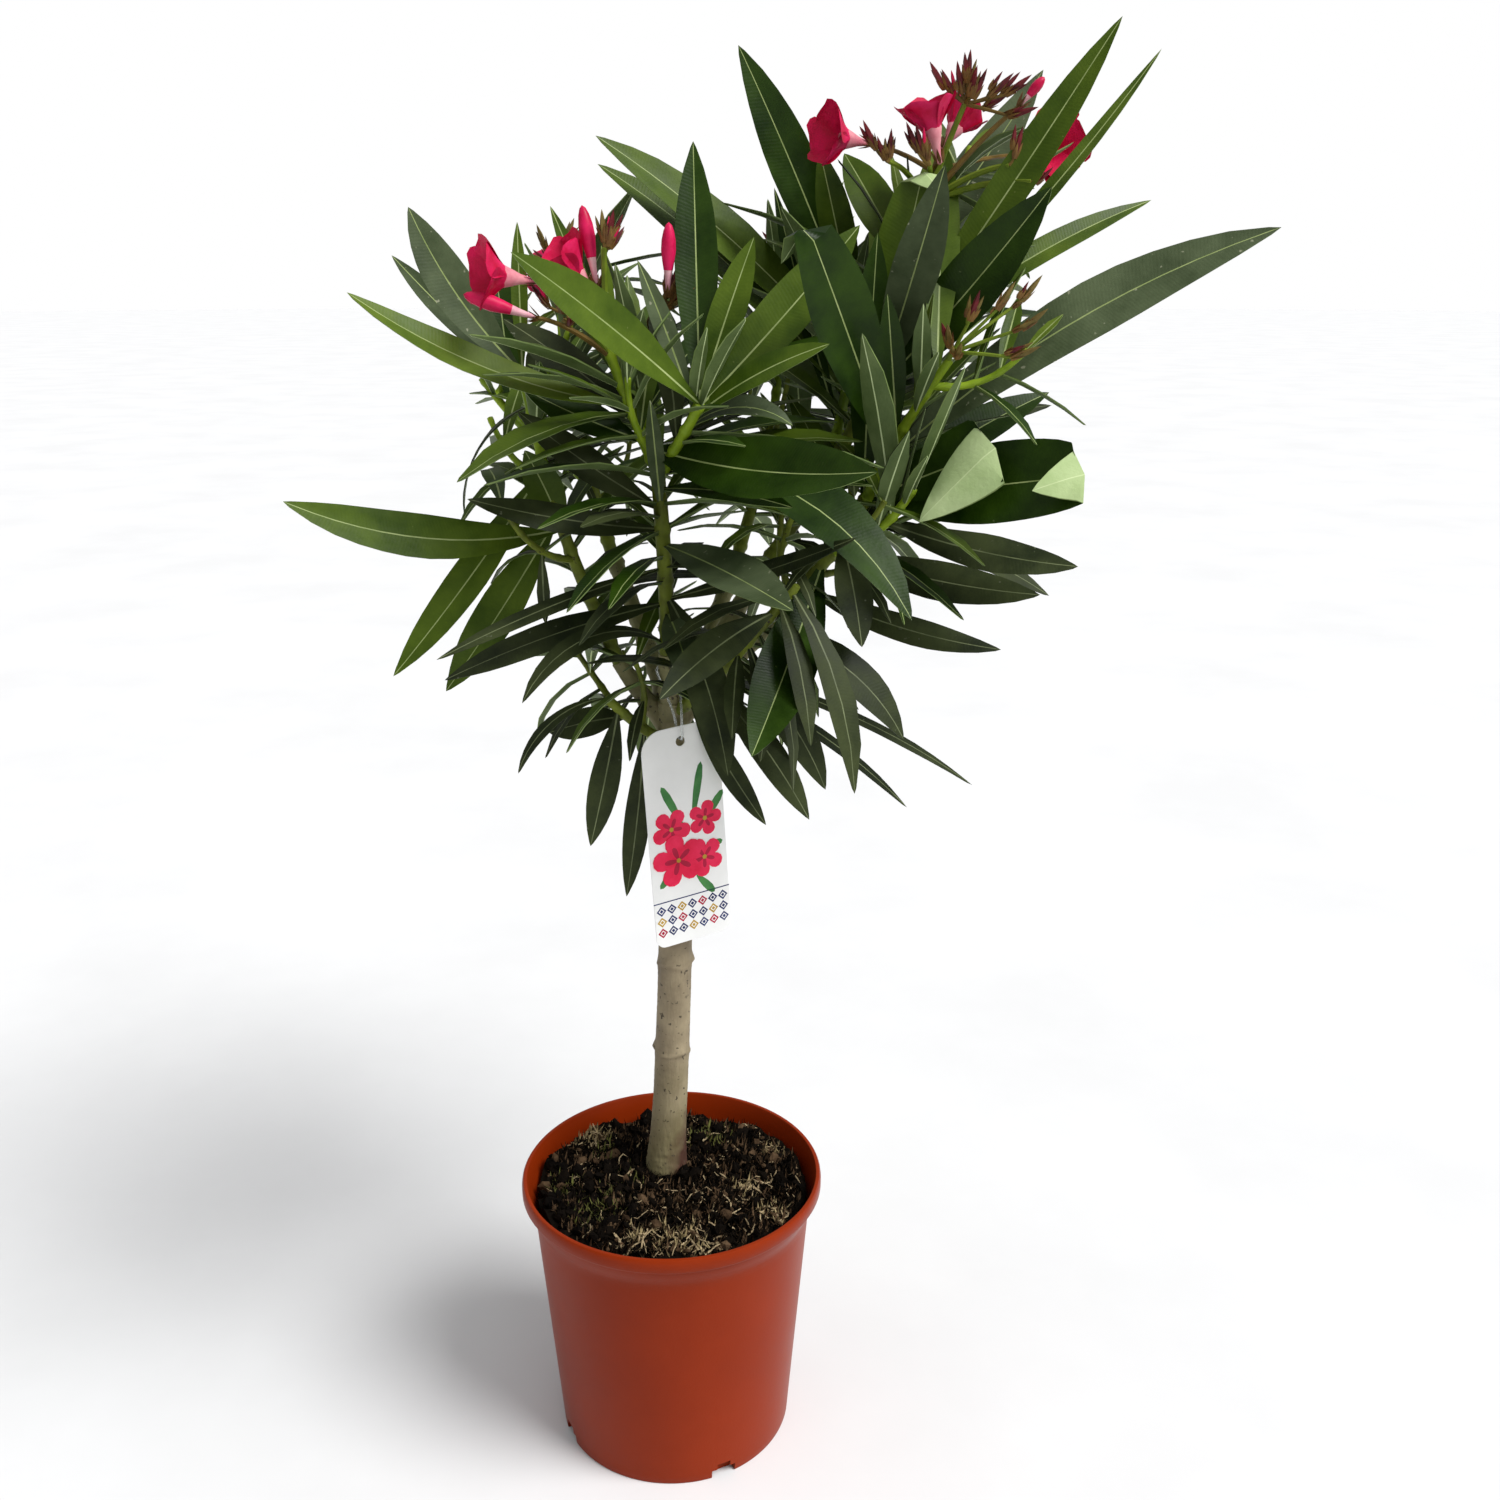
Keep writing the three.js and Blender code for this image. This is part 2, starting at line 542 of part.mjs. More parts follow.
// Every leaf of a whorl stands a third of a turn from the next, and whorls alternate
function whorlLeaf(shoot, whorl, corner) {
  const share = shoot.whorls === 1 ? 1 : whorl / (shoot.whorls - 1);
  const [first, last] = shoot.ages.map((age) => AGES[age]);
  const between = (key) => lerp(first[key], last[key], share);
  const { point, along, across, over } = frameAt(shoot.curve, lerp(shoot.first, shoot.last ?? 0.97, share));
  const around = rad(shoot.turn + whorl * 60 + corner * 120 + spread(14));
  const open = rad(between('open') + spread(9));
  const length = between('length') * (1 + spread(0.14));
  const width = between('width') * (1 + spread(0.12));
  const droop = rad(between('droop') + spread(10));
  const roll = rad(spread(16));
  const out = across.multiplyScalar(Math.cos(around)).addScaledVector(over, Math.sin(around));
  const way = along.multiplyScalar(Math.cos(open)).addScaledVector(out, Math.sin(open));
  return makeLeaf(point, Math.atan2(way.y, way.x), Math.asin(way.z), length, width, droop, roll);
}

// The leaf turned and shortened until it is clear and inside its mass's space, or nothing
function settled(leaf, heart, reach) {
  for (const share of SHORTER) {
    const shorter = { ...leaf, length: leaf.length * share, width: leaf.width * (0.5 + 0.5 * share) };
    for (const [turn, lift] of NUDGES) {
      const tried = { ...shorter, heading: leaf.heading + rad(turn), rise: leaf.rise + rad(lift) };
      const tip = midrib(tried)[BLADE.steps];
      const inside = tip.distanceTo(heart) < reach && tip.y > heart.y - FRONT_REACH;
      const cubes = leafCubes(tried);
      if (inside && [...cubes].every((cube) => !taken.has(cube))) {
        cubes.forEach((cube) => taken.set(cube, true));
        return tried;
      }
    }
  }
  return null;
}

// Pot
function potSolid() {
  const { height, baseRadius, bodyTopRadius, rimRadius, mouthRadius } = POT;
  const { wall, floor, bodyTop, rimBottom, edge } = POT;
  const profile = [
    [0, 0], [baseRadius - edge, 0], [baseRadius, edge], [bodyTopRadius, bodyTop],
    [rimRadius - 2.5, rimBottom - 3], [rimRadius, rimBottom], [rimRadius - edge / 2, height],
    [mouthRadius, height], [mouthRadius - wall, rimBottom], [bodyTopRadius - wall, bodyTop - 4],
    [baseRadius - wall, floor], [0, floor],
  ].map(([x, y]) => new THREE.Vector2(x, y));
  let pot = solid(new THREE.LatheGeometry(profile, POT.sides).rotateX(Math.PI / 2));
  for (let i = 0; i < NOTCH.count; i++) {
    const angle = rad(NOTCH.firstAngle + i * 360 / NOTCH.count);
    for (const [wide, high] of [[NOTCH.wide, NOTCH.low], [NOTCH.narrow, NOTCH.high]]) {
      const cutter = new THREE.BoxGeometry(NOTCH.depth, wide, 2 * high).rotateZ(angle);
      cutter.translate(baseRadius * Math.cos(angle), baseRadius * Math.sin(angle), 0);
      pot = pot.subtract(solid(cutter));
    }
  }
  return pot;
}

// Height of the compost above the pot's underside
function soilHeight(x, y) {
  const [footX, footY] = TRUNK.route[0];
  const away = Math.hypot(x - footX, y - footY);
  const uneven = THREE.MathUtils.smoothstep(away, SOIL.seat, 2 * SOIL.seat);
  const rough = Math.sin(x * 0.11 + 1) * Math.cos(y * 0.09) + 0.5 * Math.sin(x * 0.23 - y * 0.19);
  const edge = Math.pow(Math.hypot(x, y) / POT.bodyTopRadius, 6);
  return SOIL.level + uneven * (SOIL.swell * rough - SOIL.frontRise * y - SOIL.edgeDrop * edge);
}

function soilSolid() {
  const inside = (z) => lerp(
    POT.baseRadius, POT.bodyTopRadius, (z - POT.floor) / (POT.bodyTop - POT.floor)) - POT.wall - 3 * GAP;
  const top = SOIL.level - 8;
  const profile = [new THREE.Vector2(0, POT.floor + GAP), new THREE.Vector2(inside(0), POT.floor + GAP)];
  for (let ring = 0; ring <= SOIL.rings; ring++) {
    profile.push(new THREE.Vector2(inside(top) * (1 - ring / SOIL.rings), top));
  }
  const geometry = new THREE.LatheGeometry(profile, SOIL.sides).rotateX(Math.PI / 2);
  return solid(shaped(geometry, (p) => {
    const surface = p.z > top - 1;
    return vec(p.x, p.y, surface ? soilHeight(p.x, p.y) : p.z);
  }));
}

// Trunk: flared at its foot, cut flat where it stands
const trunkCurve = curveThrough(TRUNK.route);
function trunkRadius(t) {
  const flare = Math.exp(-Math.max(t - TRUNK.flare, 0) / TRUNK.flare);
  return lerp(TRUNK.low, TRUNK.top, t) + (TRUNK.foot - TRUNK.low) * flare;
}
function trunkSolid(swell) {
  const whole = limb(trunkCurve, trunkRadius, 12, 12, swell);
  const below = new THREE.BoxGeometry(80, 80, 40).translate(0, 18, SOIL.level + GAP - swell - 20);
  return whole.subtract(solid(below));
}

// Label: a card with cut corners and a hole, hung at the hole
function labelFrame() {
  const turn = new THREE.Matrix4().makeRotationZ(rad(LABEL.turn));
  const tilt = new THREE.Matrix4().makeRotationY(rad(-LABEL.tilt));
  const stand = new THREE.Matrix4().makeRotationX(Math.PI / 2);
  return new THREE.Matrix4().makeTranslation(...LABEL.at).multiply(turn).multiply(tilt).multiply(stand);
}

function labelSolid() {
  const { width, height, cornerTop, cornerBottom, hole, holeBelowTop, thick } = LABEL;
  const right = width / 2;
  const top = holeBelowTop;
  const bottom = holeBelowTop - height;
  const card = new THREE.Shape();
  card.moveTo(-right + cornerBottom, bottom);
  card.lineTo(right - cornerBottom, bottom);
  card.absarc(right - cornerBottom, bottom + cornerBottom, cornerBottom, -Math.PI / 2, 0);
  card.lineTo(right, top - cornerTop);
  card.absarc(right - cornerTop, top - cornerTop, cornerTop, 0, Math.PI / 2);
  card.lineTo(-right + cornerTop, top);
  card.absarc(-right + cornerTop, top - cornerTop, cornerTop, Math.PI / 2, Math.PI);
  card.lineTo(-right, bottom + cornerBottom);
  card.absarc(-right + cornerBottom, bottom + cornerBottom, cornerBottom, Math.PI, 1.5 * Math.PI);
  const opening = new THREE.Path();
  opening.absarc(0, 0, hole, 0, 2 * Math.PI, true);
  card.holes.push(opening);
  const geometry = new THREE.ExtrudeGeometry(card, { depth: thick, bevelEnabled: false, curveSegments: 4 });
  return solid(geometry.translate(0, 0, -thick / 2).applyMatrix4(labelFrame()));
}

// Tie: one closed loop through the label's hole and round the back of the centre bough
function tieSolid() {
  const [x, y, z] = LABEL.at;
  const normal = vec(-Math.sin(rad(LABEL.turn)), Math.cos(rad(LABEL.turn)), 0);
  const hole = vec(x, y, z + LABEL.hole - TIE.radius - 2 * GAP);
  const [low, , high] = BOUGHS.centre.route.map(([, , height]) => height);
  const share = (TIE.level - low) / (high - low);
  const bough = frameAt(curveThrough(BOUGHS.centre.route), share).point;
  const around = lerp(...BOUGHS.centre.radii, share) + TIE.radius + 2 * GAP;
  const beside = (angle, drop) => vec(
    bough.x + around * Math.cos(rad(angle)), bough.y + around * Math.sin(rad(angle)), TIE.level - drop);
  const points = [
    hole,
    hole.clone().addScaledVector(normal, -2.6).add(vec(0, 0, 1.2)),
    vec(x + 1, y - 2, z + 16),
    beside(-25, 5), beside(12, 2), beside(50, 0.5), beside(90, 0),
    beside(130, 0.5), beside(168, 2), beside(205, 5),
    vec(x - 4, y + 4, z + 17),
    hole.clone().addScaledVector(normal, 2.6).add(vec(0, 0, 1.2)),
  ];
  const loop = new THREE.CatmullRomCurve3(points, true);
  return solid(new THREE.TubeGeometry(loop, TIE.steps, TIE.radius, TIE.sides, true));
}

// Stalk that leaves a shoot and bends over to a given point
function stalkTo(curve, end) {
  const { point, along } = frameAt(curve, BUD.from);
  const middle = point.clone().lerp(end, 0.5).addScaledVector(along, 4);
  return limb(curveThrough([point.toArray(), middle.toArray(), end.toArray()]), () => FLOWER.neck, 4, 5);
}

// Bud on its stalk, between two points, swelling over a given length below its tip
function budSolid(from, tip, swelling, radius) {
  const length = from.distanceTo(tip);
  const curve = new THREE.QuadraticBezierCurve3(from, from.clone().lerp(tip, 0.5), tip);
  return limb(curve, (t) => {
    const swell = THREE.MathUtils.clamp(1 - (1 - t) * length / swelling, 0, 1);
    return BUD.stalk + (radius - BUD.stalk) * Math.sin(Math.PI * Math.pow(swell, 0.8)) - 0.6 * swell;
  }, 3, 4);
}

// Open flower: a stalk from the shoot's end, then a trumpet that opens into five petals
function flowerSolid(curve, heart, look, size) {
  const foot = frameAt(curve, 0.98).point;
  const neck = heart.clone().addScaledVector(look, -FLOWER.tube * size);
  const stalk = new THREE.QuadraticBezierCurve3(foot, foot.clone().lerp(neck, 0.5).add(vec(0, 0, 2)), neck);
  const across = look.clone().cross(vec(0.3, 0.2, 1)).normalize();
  const over = across.clone().cross(look);
  const trumpet = new THREE.CylinderGeometry(1, 1, 1, 2 * FLOWER.petals, 2);
  shaped(trumpet, (p) => {
    const ring = Math.round((p.y + 0.5) * 2);
    const onAxis = Math.hypot(p.x, p.z) < 0.5;
    const corner = Math.round(Math.atan2(p.z, p.x) / Math.PI * FLOWER.petals + 2 * FLOWER.petals);
    const rim = size * FLOWER.reach * (corner % 2 === 0 ? 1 : FLOWER.notch);
    const radius = onAxis ? 0 : [FLOWER.neck, size * FLOWER.throat, rim][ring];
    const height = onAxis && ring === 2 ? 1 : [-FLOWER.tube * size - 2, 0, FLOWER.cup][ring];
    return heart.clone().addScaledVector(look, height)
      .addScaledVector(across, radius * Math.cos(Math.atan2(p.z, p.x)))
      .addScaledVector(over, radius * Math.sin(Math.atan2(p.z, p.x)));
  });
  return limb(stalk, () => FLOWER.neck, 3, 3).add(solid(trumpet));
}

// Whether a solid is at least the gap away from every other one
function isClear(shape, others) {
  return others.every((other) => shape.minGap(other, GAP) >= GAP);
}

// All shoots, with their curves and the run of random numbers that each starts
const shoots = {};
let shootCount = 0;
for (const [massName, mass] of Object.entries(MASSES)) {
  for (const [name, shoot] of Object.entries(mass.shoots)) {
    shoots[name] = { ...shoot, mass: massName, run: shootCount, curve: curveThrough(shoot.route) };
    shootCount += 1;
  }
}

// Places that limbs, label and trunk take first
takeLimb(trunkCurve, trunkRadius);
for (const bough of Object.values(BOUGHS)) takeLimb(curveThrough(bough.route), taper(bough.radii));
for (const shoot of Object.values(shoots)) takeLimb(shoot.curve, taper(shoot.radii));
const frame = labelFrame();
for (let across = -LABEL.width / 2; across <= LABEL.width / 2; across += 5) {
  for (let down = LABEL.holeBelowTop - LABEL.height; down <= LABEL.holeBelowTop; down += 5) {
    for (let front = 0; front <= LABEL.view; front += 5) {
      taken.set(cubeOf(vec(across, down, front).applyMatrix4(frame)), true);
    }
  }
}

// Flowers and buds keep leaves away from their room
const tips = HEADS.flatMap(([, , ends]) => ends);
for (const heart of [...FLOWERS.map((flower) => flower[1]), ...tips]) takeBall(vec(...heart));

// The outline's leaves come first, then the whorls fill what space is left
const leaves = [];
for (const [shootName, place, tip, width, droop, facing, ...fold] of [...OUTLINE_LEAVES, ...FOLDED_LEAVES]) {
  const shoot = shoots[shootName];
  const at = frameAt(shoot.curve, place).point;
  const leaf = leafToTip(at, vec(...tip), width, rad(droop), rad(facing));
  if (fold.length > 0) addCrease(leaf, fold[0], rad(fold[1]), rad(fold[2]));
  leafCubes(leaf).forEach((cube) => taken.set(cube, true));
  leaves.push({ ...leaf, mass: shoot.mass, outline: true });
}
for (const shoot of Object.values(shoots)) {
  startRun(shoot.run);
  const { heart, reach } = MASSES[shoot.mass];
  for (let whorl = shoot.whorls - 1; whorl >= 0; whorl--) {
    for (let corner = 0; corner < 3; corner++) {
      const leaf = settled(whorlLeaf(shoot, whorl, corner), vec(...heart), reach);
      if (leaf) leaves.push({ ...leaf, mass: shoot.mass, outline: false });
    }
  }
}

const plant = new THREE.Group();
const pot = potSolid();
const soil = soilSolid();
const trunk = trunkSolid(0);
plant.add(node('pot', pot, FINISHES.pot));
plant.add(node('soil', soil, FINISHES.soil));
plant.add(node('trunk', trunk, FINISHES.bark));

// Boughs, each cut clear of the trunk and of the boughs before it
const limbCutters = [trunkSolid(LIMB_GAP)];
const finished = [pot, soil, trunk];
for (const [name, bough] of Object.entries(BOUGHS)) {
  const curve = curveThrough(bough.route);
  let shape = limb(curve, taper(bough.radii), 8, 6);
  for (const cutter of limbCutters) shape = shape.subtract(cutter);
  shape = largest(shape);
  limbCutters.push(limb(curve, taper(bough.radii), 8, 6, LIMB_GAP));
  finished.push(shape);
  plant.add(node(`bough_${name}`, shape, FINISHES.shoot));
}

const label = labelSolid();
const tie = tieSolid();
plant.add(node('label', label, FINISHES.label));
plant.add(node('label_tie', tie, FINISHES.tie));
finished.push(label, tie);

// Twigs of every mass come before its leaves, so that leaves can keep clear of them
const twigs = {};
for (const [massName, mass] of Object.entries(MASSES)) {
  const parts = Object.values(mass.shoots).map(
    (shoot) => limb(curveThrough(shoot.route), taper(shoot.radii), 6, 4));
  let shape = Manifold.union(parts);
  for (const cutter of limbCutters) shape = shape.subtract(cutter);
  twigs[massName] = largest(shape);
}

// Each mass: twigs, leaves, buds and flowers fused into one solid
for (const massName of Object.keys(MASSES)) {
  const otherTwigs = Object.entries(twigs).filter(([name]) => name !== massName).map(([, shape]) => shape);
  const others = [...finished, ...otherTwigs];
  const pieces = [twigs[massName]];
  const addIfClear = (shape) => {
    if (isClear(shape, others)) pieces.push(shape);
  };
  for (const leaf of leaves.filter((one) => one.mass === massName)) {
    const rings = leaf.crease ? 14 : (leaf.outline ? 5 : 4);
    addIfClear(blade(leaf, rings));
  }
  const within = ([shoot]) => shoots[shoot].mass === massName;
  for (const [shoot, hub, ends] of HEADS.filter(within)) {
    addIfClear(stalkTo(shoots[shoot].curve, vec(...hub)));
    ends.forEach((tip) => addIfClear(budSolid(vec(...hub), vec(...tip), BUD.length, BUD.radius)));
  }
  for (const [shoot, foot, tip] of SPINDLES.filter(within)) {
    const [start, end] = [vec(...foot), vec(...tip)];
    addIfClear(stalkTo(shoots[shoot].curve, start));
    addIfClear(budSolid(start, end, start.distanceTo(end), ROLLED));
  }
  for (const [shoot, heart, look, size] of FLOWERS.filter(within)) {
    addIfClear(flowerSolid(shoots[shoot].curve, vec(...heart), vec(...look).normalize(), size));
  }
  const shape = largest(Manifold.union(pieces).simplify(FUSE_TOLERANCE));
  finished.push(shape);
  plant.add(node(`leaves_${massName}`, shape, FINISHES.leaf));
}

export default plant;
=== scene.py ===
# A small standard oleander in a plastic nursery pot, with a hanging picture label.
# Growth is worked out in millimetres, as in the part's source, and becomes metres in each mesh.

import math
from dataclasses import dataclass, replace

import bmesh
import bpy
import numpy as np
from mathutils import Matrix, Vector, noise


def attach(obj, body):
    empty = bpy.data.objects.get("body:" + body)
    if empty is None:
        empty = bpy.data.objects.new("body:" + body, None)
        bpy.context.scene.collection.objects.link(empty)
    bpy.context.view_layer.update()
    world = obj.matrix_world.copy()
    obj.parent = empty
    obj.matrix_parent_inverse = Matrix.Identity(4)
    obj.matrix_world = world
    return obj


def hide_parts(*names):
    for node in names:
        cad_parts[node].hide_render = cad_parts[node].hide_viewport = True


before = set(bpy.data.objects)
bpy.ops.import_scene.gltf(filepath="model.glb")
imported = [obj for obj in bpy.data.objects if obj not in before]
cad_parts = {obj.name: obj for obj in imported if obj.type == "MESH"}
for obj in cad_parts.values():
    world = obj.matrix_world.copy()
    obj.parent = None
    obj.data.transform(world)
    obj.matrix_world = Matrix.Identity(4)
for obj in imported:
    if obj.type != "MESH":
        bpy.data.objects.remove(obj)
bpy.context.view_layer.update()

MM = 0.001

# Pot: sizes as in the source, with the rounded lip and collar that the moulding has
POT = {"base": 74.6, "body_top": 87.5, "body_height": 157, "rim": 95, "height": 180, "wall": 1.6, "floor": 3}
COLLAR = [(88.2, 159.5), (89.6, 163), (91.4, 167), (92.2, 170.2)]
LIP = [(94.2, 170.8), (95, 172), (95, 176.5), (94.7, 178.6), (94, 179.7), (93, 180), (92, 179.8), (91.5, 179)]
NOTCH = {"count": 4, "first": 23, "wide": 16, "low": 6, "narrow": 9, "high": 10, "depth": 12}

# Compost: level at the trunk, uneven and slightly higher at the front elsewhere
SOIL = {"level": 172, "seat": 30, "swell": 3.2, "front_rise": 0.03, "edge_drop": 4,
        "radius": 85.6, "full": 87.5, "depth": 14, "rings": 40, "sides": 120}

# Trunk: route through three points, radius at the foot, above its flare, and at the fork
TRUNK = {"route": [(-4.6, 18, 158), (4.2, 10, 325), (6, 1, 490)],
         "foot": 13.4, "low": 11.1, "top": 9.4, "flare": 0.05}
SCAR_HEIGHTS = [258, 320, 378, 428, 468]

# Boughs: route and the radius at both ends
BOUGHS = {
    "centre": ([(5, 0, 480), (4, -2, 500), (3, -6, 520)], (6.6, 5.2)),
    "right": ([(6, 0, 476), (34, -2, 507), (62, -5, 537)], (5.8, 4.8)),
    "top": ([(6, 3, 482), (32, 14, 522), (60, 20, 565)], (5.6, 4.7)),
    "left": ([(3, 2, 474), (-12, 6, 492), (-25, 7, 512)], (5.4, 4.5)),
    "back_left": ([(4, 4, 480), (-10, 34, 518), (-28, 64, 560)], (5.4, 4.5)),
    "back_right": ([(5, 4, 472), (24, 42, 508), (44, 80, 550)], (5.4, 4.5)),
}

# Label and its tie
LABEL = {"width": 49.5, "height": 134, "thick": 0.7, "corner_top": 13, "corner_bottom": 6, "hole": 3,
         "hole_below_top": 9, "at": (9, -17, 471), "turn": 26, "tilt": 3.6, "view": 170}
TIE = {"radius": 0.7, "level": 512, "clearance": 0.6}

# How a leaf stands and how long it is, at three ages: degrees and millimetres
AGES = {
    "old": {"open": 96, "length": 122, "width": 17, "droop": 52},
    "full": {"open": 60, "length": 148, "width": 24, "droop": 30},
    "young": {"open": 22, "length": 92, "width": 15, "droop": 6},
}


@dataclass
class Shoot:
    """A shoot's route and radii, whorls, ages of its leaves at foot and tip, and where the whorls stand."""
    route: list
    radii: tuple
    whorls: int
    ages: tuple
    first: float
    turn: float
    last: float = 0.97


OLD_TO_FULL = ("old", "full")
FULL_TO_YOUNG = ("full", "young")
ALL_OLD = ("old", "old")

# Masses of leaves: heart and reach of the space that each keeps to, and its shoots, the stem first
MASSES = {
    "centre": ((8, -40, 645), 122, {
        "centre_stem": Shoot([(3, -6, 520), (2, -16, 571), (-1, -27, 626)],
            (5, 4.2), 4, OLD_TO_FULL, 0.15, 30),
        "centre_left": Shoot([(-1, -27, 624), (-15, -30, 659), (-30, -35, 702)],
            (3.6, 2.6), 3, FULL_TO_YOUNG, 0.45, 0, 0.8),
        "centre_middle": Shoot([(-1, -26, 622), (-8, -21, 660), (-12, -16, 698)],
            (3.2, 2.2), 3, FULL_TO_YOUNG, 0.4, 50, 0.8),
        "centre_right": Shoot([(-1, -27, 621), (9, -45, 639), (21, -62, 662)],
            (3.5, 2.9), 3, FULL_TO_YOUNG, 0.45, 15),
    }),
    "left": ((-18, 10, 612), 114, {
        "left_stem": Shoot([(-25, 7, 512), (-44, 2, 560), (-59, 0, 606)],
            (4.3, 3.4), 4, OLD_TO_FULL, 0.12, 10),
        "left_tip": Shoot([(-58, 0, 602), (-66, 4, 638), (-74, 12, 674)],
            (3.2, 2.5), 3, FULL_TO_YOUNG, 0.4, 40),
    }),
    "right": ((112, -20, 645), 135, {
        "right_stem": Shoot([(62, -5, 537), (90, -6, 570), (114, -10, 608)],
            (4.6, 3.9), 3, OLD_TO_FULL, 0.15, 0),
        "right_up": Shoot([(113, -10, 604), (127, -24, 640), (150, -44, 682)],
            (3.6, 2.4), 3, FULL_TO_YOUNG, 0.35, 20, 0.8),
        "right_low": Shoot([(96, -7, 577), (118, -26, 592), (134, -40, 616)],
            (3.3, 2.5), 3, FULL_TO_YOUNG, 0.4, 50),
    }),
    "top": ((130, 35, 715), 128, {
        "top_stem": Shoot([(60, 20, 565), (96, 18, 620), (128, 6, 680)],
            (4.5, 3.7), 4, OLD_TO_FULL, 0.15, 35),
        "top_up": Shoot([(127, 6, 676), (138, 12, 730), (150, 20, 778)],
            (3.4, 2.4), 3, FULL_TO_YOUNG, 0.3, 5, 0.6),
        "top_back": Shoot([(94, 18, 617), (106, 38, 658), (112, 52, 702)],
            (3.4, 2.6), 3, FULL_TO_YOUNG, 0.4, 25),
    }),
    "back_left": ((-20, 98, 665), 116, {
        "back_left_stem": Shoot([(-28, 64, 560), (-40, 84, 600), (-50, 100, 646)],
            (4.3, 3.4), 3, OLD_TO_FULL, 0.15, 20),
        "back_left_up": Shoot([(-50, 99, 642), (-56, 108, 680), (-58, 112, 718)],
            (3.2, 2.4), 3, FULL_TO_YOUNG, 0.35, 50, 0.85),
        "back_left_out": Shoot([(-41, 86, 604), (-76, 96, 630), (-106, 108, 664)],
            (3.2, 2.4), 3, FULL_TO_YOUNG, 0.4, 0),
    }),
    "back_right": ((84, 105, 655), 136, {
        "back_right_stem": Shoot([(44, 80, 550), (60, 104, 596), (72, 124, 644)],
            (4.3, 3.4), 3, OLD_TO_FULL, 0.15, 0),
        "back_right_up": Shoot([(72, 123, 640), (77, 134, 678), (80, 140, 716)],
            (3.2, 2.4), 3, FULL_TO_YOUNG, 0.35, 30, 0.85),
        "back_right_out": Shoot([(61, 105, 598), (102, 112, 622), (140, 112, 656)],
            (3.2, 2.4), 3, FULL_TO_YOUNG, 0.4, 15),
    }),
    "skirt_left": ((-32, 0, 520), 88, {
        "skirt_left_shoot": Shoot([(0, 0, 466), (-16, -10, 480), (-32, -16, 497)],
            (3.6, 2.8), 2, ALL_OLD, 0.7, 40),
    }),
    "skirt_right": ((68, -45, 550), 118, {
        "skirt_right_shoot": Shoot([(7, -3, 484), (36, -27, 518), (72, -45, 566)],
            (3.9, 2.8), 5, ALL_OLD, 0.35, 0),
    }),
    "skirt_back": ((18, 60, 515), 105, {
        "skirt_back_shoot": Shoot([(5, 2, 462), (0, 28, 474), (-4, 46, 492)],
            (3.6, 2.8), 2, ALL_OLD, 0.65, 20),
    }),
}

